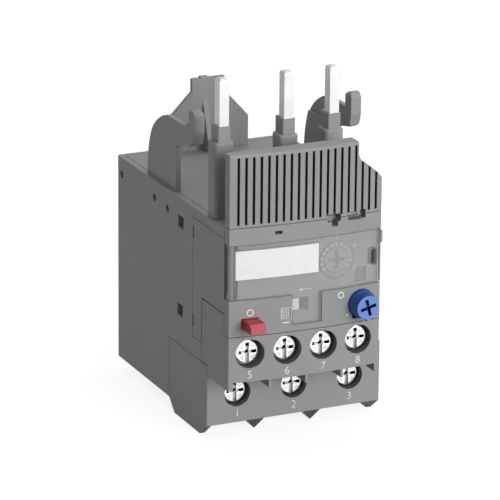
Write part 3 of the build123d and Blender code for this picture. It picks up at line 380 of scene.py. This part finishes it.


# Faces whose finish differs from the rest of their piece: painted shade, painted light, or a
# finish of their own
WALL_LEAN = 0.3
AUX_BORE = 3.55 * MM
MAIN_BORE = 3.40 * MM
SLOTS_REACH = 20.5 * MM
SLOTS_BELOW, SLOTS_ABOVE = 0.6 * MM, 0.5 * MM
SLOT_LIP, SLOT_DEPTH = 0.15 * MM, 1.6 * MM
POCKET_LEFT, POCKET_RIGHT = DIAL_X + 4.8 * MM, DIAL_X + 8.0 * MM
POCKET_FOOT, POCKET_TOP = 38.3 * MM, 42.2 * MM
POCKET_LIP = 0.2 * MM
FOOT_TOP = 2.4 * MM
FOOT_SETBACK = 0.3 * MM
COVER_BARREL, COVER_END_X = -21.0 * MM, 15.65 * MM
KNOB_RIM = 0.05 * MM
KNOB_SLOT_DEPTH, KNOB_SLOT_REACH = 3 * MM, 2.3 * MM
STOP_RIM = 0.6 * MM
# A face looks to the front where the Y of its normal is below these
FOOT_LOOKS, KNOB_LOOKS, STOP_LOOKS, WINDOW_LOOKS = -0.2, -0.7, -0.5, -0.5


def tint_faces(node, material, chosen):
    """Another finish for the faces of a node that chosen(centre, normal) picks."""
    mesh = NODES[node].data
    mesh.materials.append(material)
    place = NODES[node].matrix_world
    turn = place.to_3x3()
    for face in mesh.polygons:
        if chosen(place @ face.center, turn @ face.normal):
            face.material_index = len(mesh.materials) - 1


def tint_bores(node, screws, radius):
    """Walls of the round holes that the screws sit in, painted darker as shade."""
    spots = []
    for screw in screws:
        low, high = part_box(screw)
        spots.append(((low.x + high.x) / 2, (low.z + high.z) / 2))

    def inside(centre, normal):
        near = min(math.hypot(centre.x - x, centre.z - z) for x, z in spots)
        return near < radius and abs(normal.y) < WALL_LEAN

    tint_faces(node, BORE_PAINTED_SHADE, inside)


def tint_details():
    """Painted shade in the holes, slots, pockets and the knob's cross; painted light on the
    fronts of the knob and the stop button; the window's front and the cover's ends with a finish
    of their own.
    """
    aux_screws = [f"aux_screw_{number}" for number in range(1, AUX_COUNT + 1)]
    tint_bores("aux_terminal_block", aux_screws, AUX_BORE)
    tint_bores("main_terminal_block", [f"main_screw_{side}" for side in SIDES], MAIN_BORE)
    shield_low, shield_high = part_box("ribbed_shield")
    foot_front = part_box("main_terminal_block")[0].y + FOOT_SETBACK
    knob_front = KNOB_FRONT + KNOB_RIM
    stop_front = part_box("stop_button")[0].y + STOP_RIM

    def in_shield_slot(centre, normal):
        front = bow_y(centre.x)
        return (abs(centre.x) < SLOTS_REACH and abs(normal.z) < WALL_LEAN
                and shield_low.z + SLOTS_BELOW < centre.z < shield_high.z - SLOTS_ABOVE
                and front + SLOT_LIP < centre.y < front + SLOT_DEPTH)

    def in_panel_pocket(centre, normal):
        return (POCKET_LEFT < centre.x < POCKET_RIGHT
                and POCKET_FOOT < centre.z < POCKET_TOP
                and centre.y > bow_y(centre.x) + RECESS + POCKET_LIP)

    def in_knob_cross(centre, normal):
        return (knob_front < centre.y < KNOB_FRONT + KNOB_SLOT_DEPTH
                and math.hypot(centre.x - KNOB_X, centre.z - KNOB_Z) < KNOB_SLOT_REACH)

    # The walls inside the shield's slots get painted shade
    tint_faces("ribbed_shield", SLOT_PAINTED_SHADE, in_shield_slot)
    # The pocket in the panel behind the cover gets painted shade
    tint_faces("front_panel", POCKET_PAINTED_SHADE, in_panel_pocket)
    # The fronts of the feet under the terminal block get painted shade
    tint_faces("main_terminal_block", SLOT_PAINTED_SHADE, lambda centre, normal:
               centre.z < FOOT_TOP and centre.y > foot_front and normal.y < FOOT_LOOKS)
    tint_faces("transparent_cover", COVER_END, lambda centre, normal:
               centre.x > COVER_END_X or centre.x < COVER_BARREL)
    # The knob's front face gets painted light
    tint_faces("reset_knob", RESET_PAINTED_LIT_FACE, lambda centre, normal:
               centre.y < knob_front and normal.y < KNOB_LOOKS)
    # Inside the knob's cross gets painted shade
    tint_faces("reset_knob", RESET_SLOT_PAINTED_SHADE, in_knob_cross)
    # The stop button's front face gets painted light
    tint_faces("stop_button", STOP_PAINTED_LIT_FACE, lambda centre, normal:
               centre.y < stop_front and normal.y < STOP_LOOKS)
    tint_faces("status_window", WINDOW_HATCH, lambda centre, normal:
               normal.y < WINDOW_LOOKS)


# Shared ways to make and place a piece
def bow_y(x, inset=0.0):
    """Y of the bowed front at x, moved inwards by inset."""
    centre = FRONT_Y + math.sqrt(BOW_RADIUS**2 - HALF_WIDTH**2)
    return centre - math.sqrt((BOW_RADIUS - inset) ** 2 - x**2)


def recess_y(x):
    """Y of the panel's recessed field behind the cover."""
    return bow_y(x, RECESS)


def finish_mesh(name, mesh, body, material=None):
    """Turns a mesh that is already in place into a piece that rides on a body."""
    if material:
        mesh.materials.clear()
        mesh.materials.append(material)
    piece = bpy.data.objects.new(name, mesh)
    bpy.context.scene.collection.objects.link(piece)
    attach(piece, body)
    return piece


def lay_on_front(mesh, x, z, surface):
    """Lays a flat mesh, face up, on a surface that looks to the front."""
    for vertex in mesh.vertices:
        across, upwards, out = vertex.co
        vertex.co = (x + across, surface(x + across) - out, z + upwards)


def evaluated_mesh(holder):
    """Plain mesh of an object with its modifiers; the object is removed."""
    graph = bpy.context.evaluated_depsgraph_get()
    mesh = bpy.data.meshes.new_from_object(holder.evaluated_get(graph))
    bpy.data.objects.remove(holder)
    return mesh


# Shared steps of the geometry trees
def new_tree(name, sizes):
    """Geometry tree with named sizes; gives the tree and the sockets of its sizes."""
    tree = bpy.data.node_groups.new(name, "GeometryNodeTree")
    tree.interface.new_socket("Geometry", in_out="INPUT", socket_type="NodeSocketGeometry")
    tree.interface.new_socket("Geometry", in_out="OUTPUT", socket_type="NodeSocketGeometry")
    for size in sizes:
        tree.interface.new_socket(size, in_out="INPUT", socket_type="NodeSocketFloat")
    source = tree.nodes.new("NodeGroupInput")
    return tree, {size: source.outputs[size] for size in sizes}


def end_tree(tree, geometry):
    """Makes a geometry the result of its tree."""
    sink = tree.nodes.new("NodeGroupOutput")
    tree.links.new(geometry, sink.inputs[0])
    return tree


def grow(tree, values):
    """Runs a tree with the given sizes and gives the plain mesh that it makes."""
    holder = bpy.data.objects.new("grown", bpy.data.meshes.new("grown"))
    bpy.context.scene.collection.objects.link(holder)
    modifier = holder.modifiers.new("form", "NODES")
    modifier.node_group = tree
    for item in tree.interface.items_tree:
        if item.in_out == "INPUT" and item.name in values:
            modifier[item.identifier] = float(values[item.name])
    return evaluated_mesh(holder)


def triple(tree, x=0.0, y=0.0, z=0.0):
    return put(tree, "ShaderNodeCombineXYZ", {0: x, 1: y, 2: z}).outputs[0]


def moved(tree, geometry, shift=(0, 0, 0), turn=(0, 0, 0)):
    return put(tree, "GeometryNodeTransform", {
        "Geometry": geometry, "Translation": shift, "Rotation": turn}).outputs[0]


def block(tree, across, upwards, thick):
    size = triple(tree, across, upwards, thick)
    return put(tree, "GeometryNodeMeshCube", {"Size": size}).outputs[0]


def cut_out(tree, solid, cutters):
    """A solid less its cutters."""
    cut = put(tree, "GeometryNodeMeshBoolean", {"Mesh 1": solid, "Self Intersection": True},
              operation="DIFFERENCE", solver="EXACT")
    for cutter in cutters:
        tree.links.new(cutter, cut.inputs["Mesh 2"])
    return cut.outputs["Mesh"]


def joined(tree, geometries):
    """All geometries as one, with no instances left."""
    join = tree.nodes.new("GeometryNodeJoinGeometry")
    for geometry in geometries:
        tree.links.new(geometry, join.inputs["Geometry"])
    return realized(tree, join.outputs["Geometry"])


def realized(tree, geometry):
    return put(tree, "GeometryNodeRealizeInstances", {"Geometry": geometry}).outputs["Geometry"]


def dressed(tree, geometry, material, selection=True):
    return put(tree, "GeometryNodeSetMaterial", {
        "Geometry": geometry, "Selection": selection, "Material": material}).outputs["Geometry"]


# Terminal screws: pan head with a cross recess and one open slot, threaded shank
SCREW_SIZES = ("Head Radius", "Head Height", "Rim Rounding", "Shank Radius", "Shank Length",
               "Thread Pitch", "Arm Width", "Recess Depth", "Well Depth")
HEAD_STEPS = {"Vertices": 64, "Side Segments": 26}
# Shares of the head's radius
ARM_REACH = 1.2
WELL_PLACE = 0.58
OPEN_SLOT_REACH = 0.95
TICK_PLACE, TICK_REACH = 0.62, 0.24
SHADED_REACH = 0.80
# Shares of the arm's width
ARM_NARROW = 0.74
WELL_HEIGHT = 0.8
UPPER_WELL, RIGHT_WELL, LEFT_WELL = 0.95, 1.1, 0.75
FUNNEL_TOP, FUNNEL_FOOT = 1.1, 0.2
# Shares of the recess's depth
OPEN_SLOT_DEPTH = 2.6
WELL_SHADE_FROM = -1.4
# Share of the wells' depth
SHADE_ENDS = -1.1
# Fine marks on the head, thread and shading, in metres
TICK_ANGLES = (38, 52, 128, 142, 218, 232, 308, 322)
TICK_WIDTH, TICK_DEPTH = 0.10 * MM, 0.16 * MM
SHADE_FROM = -0.07 * MM
THREAD_DEPTH, THREAD_RIDGE = 0.26 * MM, 0.24 * MM
THREAD_RUNOUT = 0.2 * MM
# Head height, shank radius and thread pitch, in millimetres
MAIN_SCREW = (3.2, 1.9, 0.70)
AUX_SCREW = (3.0, 1.6, 0.60)


def rounded_rim(tree, geometry, radius, rounding):
    """Draws the upper rim of a head in along a quarter round."""
    place = tree.nodes.new("GeometryNodeInputPosition").outputs["Position"]
    height = put(tree, "ShaderNodeSeparateXYZ", {0: place}).outputs["Z"]
    rise = calc(tree, "DIVIDE", calc(tree, "ADD", height, rounding), rounding)
    share = calc(tree, "MAXIMUM", rise, 0.0)
    drop = calc(tree, "SUBTRACT", 1.0, calc(tree, "POWER", share, 2.0))
    drawn = calc(tree, "SUBTRACT", 1.0, calc(tree, "SQRT", calc(tree, "MAXIMUM", drop, 0.0)))
    factor = calc(tree, "SUBTRACT", 1.0,
                  times(tree, drawn, calc(tree, "DIVIDE", rounding, radius)))
    scaled = put(tree, "ShaderNodeVectorMath", {0: place, 1: triple(tree, factor, factor, 1.0)},
                 operation="MULTIPLY")
    return put(tree, "GeometryNodeSetPosition", {
        "Geometry": geometry, "Position": scaled.outputs[0]}).outputs[0]


def recess_cutters(tree, size):
    """Cross recess, its three wells, the open slot, the centre funnel and the radial marks."""
    radius, deep, wide = size["Head Radius"], size["Recess Depth"], size["Arm Width"]
    cutters = []

    def bar(across, upwards, depth, x=0.0, y=0.0, turn=0.0):
        """Cutter whose middle is at (x, y) of the head's face."""
        cube = block(tree, across, upwards, depth)
        cutters.append(moved(tree, cube, triple(tree, x, y), (0, 0, turn)))

    arm = times(tree, radius, ARM_REACH)
    narrow = times(tree, wide, ARM_NARROW)
    twice = times(tree, deep, 2.0)
    bar(arm, narrow, twice)
    bar(narrow, arm, twice)
    well = times(tree, size["Well Depth"], 2.0)
    out = times(tree, radius, WELL_PLACE)
    back = times(tree, radius, -WELL_PLACE)
    bar(times(tree, wide, UPPER_WELL), wide, well, y=out)
    bar(times(tree, wide, RIGHT_WELL), times(tree, wide, WELL_HEIGHT), well, x=out)
    bar(times(tree, wide, LEFT_WELL), times(tree, wide, WELL_HEIGHT), well, x=back)
    bar(wide, times(tree, radius, OPEN_SLOT_REACH), times(tree, deep, OPEN_SLOT_DEPTH), y=back)
    funnel = put(tree, "GeometryNodeMeshCone", {
        "Vertices": 24, "Radius Top": times(tree, wide, FUNNEL_TOP),
        "Radius Bottom": times(tree, wide, FUNNEL_FOOT), "Depth": well})
    cutters.append(moved(tree, funnel.outputs["Mesh"],
                         triple(tree, z=times(tree, well, -0.5))))
    for angle in TICK_ANGLES:
        turn = math.radians(angle)
        bar(times(tree, radius, TICK_REACH), TICK_WIDTH, TICK_DEPTH,
            times(tree, radius, TICK_PLACE * math.cos(turn)),
            times(tree, radius, TICK_PLACE * math.sin(turn)), turn)
    return cutters


def threaded_shank(tree, size):
    """Core and thread below the head."""
    height, length = size["Head Height"], size["Shank Length"]
    core = calc(tree, "SUBTRACT", size["Shank Radius"], THREAD_DEPTH)
    shank = put(tree, "GeometryNodeMeshCylinder", {
        "Vertices": 28, "Radius": core, "Depth": length})
    middle = calc(tree, "MULTIPLY_ADD", length, -0.5, times(tree, height, -1.0))
    shank = moved(tree, shank.outputs["Mesh"], triple(tree, z=middle))
    short = calc(tree, "SUBTRACT", length, 2 * THREAD_RUNOUT)
    path = put(tree, "GeometryNodeCurveSpiral", {
        "Resolution": 24, "Rotations": calc(tree, "DIVIDE", short, size["Thread Pitch"]),
        "Start Radius": core, "End Radius": core, "Height": short})
    ridge = put(tree, "GeometryNodeCurvePrimitiveCircle", {
        "Resolution": 3, "Radius": THREAD_RIDGE})
    thread = put(tree, "GeometryNodeCurveToMesh", {
        "Curve": path.outputs[0], "Profile Curve": ridge.outputs["Curve"], "Fill Caps": True})
    foot = times(tree, calc(tree, "ADD", height, length), -1.0)
    thread = moved(tree, thread.outputs["Mesh"],
                   triple(tree, z=calc(tree, "ADD", foot, THREAD_RUNOUT)))
    return shank, thread


def screw_tree():
    """Screw along Z with the face of its head at zero."""
    tree, size = new_tree("terminal_screw", SCREW_SIZES)
    radius, height = size["Head Radius"], size["Head Height"]
    head = put(tree, "GeometryNodeMeshCylinder", {
        **HEAD_STEPS, "Radius": radius, "Depth": height})
    head = moved(tree, head.outputs["Mesh"], triple(tree, z=times(tree, height, -0.5)))
    head = rounded_rim(tree, head, radius, size["Rim Rounding"])
    head = cut_out(tree, head, recess_cutters(tree, size))
    screw = dressed(tree, joined(tree, (head, *threaded_shank(tree, size))),
                    MATERIALS["screw_steel"])
    place = tree.nodes.new("GeometryNodeInputPosition").outputs["Position"]
    x, y, z = put(tree, "ShaderNodeSeparateXYZ", {0: place}).outputs
    reach = calc(tree, "SQRT", calc(tree, "ADD", calc(tree, "POWER", x, 2.0),
                                    calc(tree, "POWER", y, 2.0)))
    inside = calc(tree, "LESS_THAN", reach, times(tree, radius, SHADED_REACH))
    above = calc(tree, "GREATER_THAN", z, times(tree, size["Well Depth"], SHADE_ENDS))
    # Faces deep in the recess and in the wells get painted shade
    for level, material in (
            (SHADE_FROM, RECESS_SHADE),
            (times(tree, size["Recess Depth"], WELL_SHADE_FROM), WELL_SHADE)):
        below = calc(tree, "LESS_THAN", z, level)
        hollow = times(tree, times(tree, inside, below), above)
        screw = dressed(tree, screw, material, hollow)
    return end_tree(tree, screw)


def make_screws():
    """One detailed screw in the place of each plain one."""
    tree = screw_tree()
    jobs = [(f"main_screw_{side}", *MAIN_SCREW) for side in SIDES]
    jobs += [(f"aux_screw_{number}", *AUX_SCREW) for number in range(1, AUX_COUNT + 1)]
    for node, head, shank, pitch in jobs:
        low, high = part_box(node)
        mesh = grow(tree, {
            "Head Radius": (high.x - low.x) / 2, "Head Height": head * MM,
            "Rim Rounding": 0.46 * MM, "Shank Radius": shank * MM,
            "Shank Length": high.y - low.y - head * MM, "Thread Pitch": pitch * MM,
            "Arm Width": 0.95 * MM, "Recess Depth": 0.45 * MM, "Well Depth": 1.5 * MM,
        })
        centre = Vector(((low.x + high.x) / 2, low.y, (low.z + high.z) / 2))
        mesh.transform(Matrix.Translation(centre) @ Matrix.Rotation(math.pi / 2, 4, "X"))
        piece = finish_mesh(f"{node}_dressed", mesh, node)
        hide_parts(node)


# Dial scale: a ring of ticks with plain numerals round the dial, behind the cover
PRINT_DEPTH = 0.03 * MM
SCALE_SIZES = ("Tick Count", "Ring Radius", "First Angle", "Angle Step", "Tick Length",
               "Tick Width")
SCALE_SWEEP = math.radians(240)
SCALE_TICKS = 13
SCALE_SHARES = (-1, -0.5, 0, 0.5, 1)
SCALE_NUMERAL_RING = 5.5 * MM
SCALE_NUMERAL_HEIGHT = 1.3 * MM


def scale_tree():
    tree, size = new_tree("dial_scale", SCALE_SIZES)
    count = put(tree, "FunctionNodeFloatToInt", {0: size["Tick Count"]}).outputs[0]
    index = tree.nodes.new("GeometryNodeInputIndex").outputs["Index"]
    angle = calc(tree, "ADD", size["First Angle"], times(tree, index, size["Angle Step"]))
    place = triple(tree, times(tree, size["Ring Radius"], calc(tree, "SINE", angle)),
                   times(tree, size["Ring Radius"], calc(tree, "COSINE", angle)))
    points = put(tree, "GeometryNodePoints", {"Count": count, "Position": place})
    ring = put(tree, "GeometryNodeInstanceOnPoints", {
        "Points": points.outputs[0],
        "Instance": block(tree, size["Tick Width"], size["Tick Length"], PRINT_DEPTH),
        "Rotation": triple(tree, z=times(tree, angle, -1.0))})
    return end_tree(tree, dressed(tree, realized(tree, ring.outputs[0]), SCALE_INK))


def make_dial_scale():
    mesh = grow(scale_tree(), {
        "Tick Count": SCALE_TICKS, "Ring Radius": 3.75 * MM, "First Angle": -SCALE_SWEEP / 2,
        "Angle Step": SCALE_SWEEP / (SCALE_TICKS - 1), "Tick Length": 0.80 * MM,
        "Tick Width": 0.20 * MM,
    })
    lay_on_front(mesh, DIAL_X, DIAL_Z, recess_y)
    finish_mesh("dial_scale_ticks", mesh, "housing")
    for number, share in enumerate(SCALE_SHARES, start=1):
        angle = share * SCALE_SWEEP / 2
        print_numeral(f"dial_numeral_{number}", number,
                      DIAL_X + SCALE_NUMERAL_RING * math.sin(angle),
                      DIAL_Z + SCALE_NUMERAL_RING * math.cos(angle),
                      SCALE_NUMERAL_HEIGHT, recess_y, SCALE_INK)


# Face of the dial: a disc with an upright cross, a pointer notch and a floor painted dark as
# shade behind them
FACE_SIZES = ("Face Radius", "Face Thickness", "Cross Length", "Cross Width", "Notch Width")
FACE_THICKNESS = 0.14 * MM
# Place of the notch and size and height of the floor painted as shade, as shares of the disc's
# own
NOTCH_PLACE = 0.9
SHADED_RADIUS, SHADED_THICKNESS, SHADED_HEIGHT = 0.98, 0.2, -0.4


def dial_face_tree():
    tree, size = new_tree("dial_face", FACE_SIZES)
    radius, thick = size["Face Radius"], size["Face Thickness"]
    reach, wide, notch = size["Cross Length"], size["Cross Width"], size["Notch Width"]
    disc = put(tree, "GeometryNodeMeshCylinder", {
        "Vertices": 64, "Radius": radius, "Depth": thick})
    tall = times(tree, thick, 3.0)
    cutters = [moved(tree, block(tree, across, upwards, tall), triple(tree, y=spot))
               for across, upwards, spot in (
                   (reach, wide, 0.0), (wide, reach, 0.0),
                   (notch, notch, times(tree, radius, NOTCH_PLACE)))]
    face = dressed(tree, cut_out(tree, disc.outputs["Mesh"], cutters),
                   MATERIALS["dial_plastic"])
    floor = put(tree, "GeometryNodeMeshCylinder", {
        "Vertices": 64, "Radius": times(tree, radius, SHADED_RADIUS),
        "Depth": times(tree, thick, SHADED_THICKNESS)})
    floor = moved(tree, floor.outputs["Mesh"],
                  triple(tree, z=times(tree, thick, SHADED_HEIGHT)))
    return end_tree(tree, joined(tree, (face, dressed(tree, floor, POCKET_PAINTED_SHADE))))


def make_dial_face():
    mesh = grow(dial_face_tree(), {
        "Face Radius": 2.97 * MM, "Face Thickness": FACE_THICKNESS, "Cross Length": 4.4 * MM,
        "Cross Width": 0.85 * MM, "Notch Width": 0.7 * MM,
    })
    lay_on_front(mesh, DIAL_X, DIAL_Z, lambda x: DIAL_FRONT - FACE_THICKNESS / 2)
    finish_mesh("dial_face", mesh, "setting_dial")


# Dark plates painted as the shade in small hollows that the shell's pieces leave between
# them: body and two corners, in millimetres, with Y counted from the front
PAINTED_SHADE_PLATES = {
    "seal_pocket": ("housing", (13.30, 0.25, 41.9), (15.20, 0.32, 46.0)),
    "catch_slot": ("housing", (6.9, -1.72, 54.30), (10.0, -1.64, 55.15)),
    "cover_gap": ("cover", (-22.5, 1.05, 39.3), (-22.48, 1.45, 50.6)),
}
BOX_FACES = [(0, 1, 3, 2), (4, 6, 7, 5), (0, 4, 5, 1), (2, 3, 7, 6), (0, 2, 6, 4), (1, 5, 7, 3)]


# Each plate is painted shade where a hollow is dark
def make_hollows():
    for name, (body, low, high) in PAINTED_SHADE_PLATES.items():
        spots = [(x * MM, FRONT_Y + y * MM, z * MM) for x in (low[0], high[0])
                 for y in (low[1], high[1]) for z in (low[2], high[2])]
        mesh = bpy.data.meshes.new("plate")
        mesh.from_pydata(spots, [], BOX_FACES)
        finish_mesh(f"{name}_shade", mesh, body, SLOT_PAINTED_SHADE)


# Print on the front
FONT_SIZE_OF_HEIGHT = 1.38
STROKE_TRIM = 0.018
NUMERAL_HEIGHT = 1.95 * MM
MAIN_NUMERAL_Z = 5.3 * MM
AUX_NUMERAL_Z = 19.55 * MM
TEST_ARROW_Z = 38.55 * MM


def print_numeral(name, number, x, z, height, surface, ink=WHITE_INK):
    """Printed number with its middle at (x, z)."""
    curve = bpy.data.curves.new("print", "FONT")
    curve.body = str(number)
    curve.size = height * FONT_SIZE_OF_HEIGHT
    curve.align_x = "CENTER"
    curve.align_y = "CENTER"
    curve.offset = -STROKE_TRIM * height
    curve.extrude = PRINT_DEPTH
    curve.resolution_u = 4
    holder = bpy.data.objects.new("print", curve)
    bpy.context.scene.collection.objects.link(holder)
    mesh = evaluated_mesh(holder)
    lay_on_front(mesh, x, z, surface)
    finish_mesh(name, mesh, "housing", ink)


def print_loop(name, outer, inner, x, z, surface):
    """Closed printed frame between two outlines of as many (x, z) points."""
    mesh = bpy.data.meshes.new(name)
    count = len(outer)
    verts = [(px, pz, depth) for depth in (-PRINT_DEPTH, PRINT_DEPTH)
             for ring in (outer, inner) for px, pz in ring]
    low_outer, low_inner, top_outer, top_inner = (ring * count for ring in range(4))
    faces = []
    for n in range(count):
        m = (n + 1) % count
        faces.append((top_outer + n, top_outer + m, top_inner + m, top_inner + n))
        faces.append((low_outer + m, low_outer + n, low_inner + n, low_inner + m))
        faces.append((low_outer + n, low_outer + m, top_outer + m, top_outer + n))
        faces.append((low_inner + m, low_inner + n, top_inner + n, top_inner + m))
    mesh.from_pydata(verts, [], faces)
    lay_on_front(mesh, x, z, surface)
    finish_mesh(name, mesh, "housing", WHITE_INK)


def ring_points(radius, count=40):
    return [(radius * math.cos(math.tau * n / count), radius * math.sin(math.tau * n / count))
            for n in range(count)]


def frame_points(half_wide, half_high):
    return [(half_wide, half_high), (-half_wide, half_high), (-half_wide, -half_high),
            (half_wide, -half_high)]


def arrow_points(tip, back, half_high):
    return [(back, half_high), (tip, 0), (back, -half_high)]


def print_marks():
    """Plain numerals by the terminals and plain signs by the controls."""
    main_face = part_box("main_terminal_block")[0].y
    for number, side in enumerate(SIDES, start=1):
        low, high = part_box(f"main_screw_{side}")
        print_numeral(f"main_numeral_{number}", number, (low.x + high.x) / 2, MAIN_NUMERAL_Z,
                      NUMERAL_HEIGHT, lambda x: main_face)
    for number in range(1, AUX_COUNT + 1):
        low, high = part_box(f"aux_screw_{number}")
        print_numeral(f"aux_numeral_{number}", number + AUX_COUNT, (low.x + high.x) / 2,
                      AUX_NUMERAL_Z, NUMERAL_HEIGHT, bow_y)
    low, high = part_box("stop_button")
    stop_x = (low.x + high.x) / 2
    low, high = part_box("status_window")
    window_x = (low.x + high.x) / 2
    signs = {
        "stop_ring": (ring_points(0.85 * MM), ring_points(0.60 * MM),
                      stop_x, 34.75 * MM, bow_y),
        "window_frame": (frame_points(1.30 * MM, 1.34 * MM), frame_points(1.20 * MM, 1.24 * MM),
                         window_x, 33.70 * MM, bow_y),
        "window_bar": (frame_points(0.75 * MM, 0.14 * MM), frame_points(0.02 * MM, 0.02 * MM),
                       window_x, 31.45 * MM, bow_y),
        "test_arrow_head": (arrow_points(-0.55 * MM, 0.45 * MM, 0.42 * MM),
                            arrow_points(0.05 * MM, 0.20 * MM, 0.05 * MM),
                            -4.55 * MM, TEST_ARROW_Z, recess_y),
        "test_arrow_shaft": (frame_points(1.1 * MM, 0.09 * MM), frame_points(1.0 * MM, 0.01 * MM),
                             -3.0 * MM, TEST_ARROW_Z, recess_y),
        "reset_ring": (ring_points(0.80 * MM), ring_points(0.56 * MM),
                       KNOB_X - 5.4 * MM, 36.3 * MM, bow_y),
        "reset_dot": (ring_points(0.26 * MM, 16), ring_points(0.02 * MM, 16),
                      KNOB_X - 3.6 * MM, 31.2 * MM, bow_y),
    }
    for name, sign in signs.items():
        print_loop(name, *sign)


make_camera()
make_world()
make_lamp("front_lamp", **FRONT_LAMP)
make_lamp("top_lamp", **TOP_LAMP)
make_floor()
dress_nodes()
tint_details()
make_screws()
make_dial_scale()
make_dial_face()
make_hollows()
print_marks()
bpy.context.scene.view_settings.view_transform = "Standard"
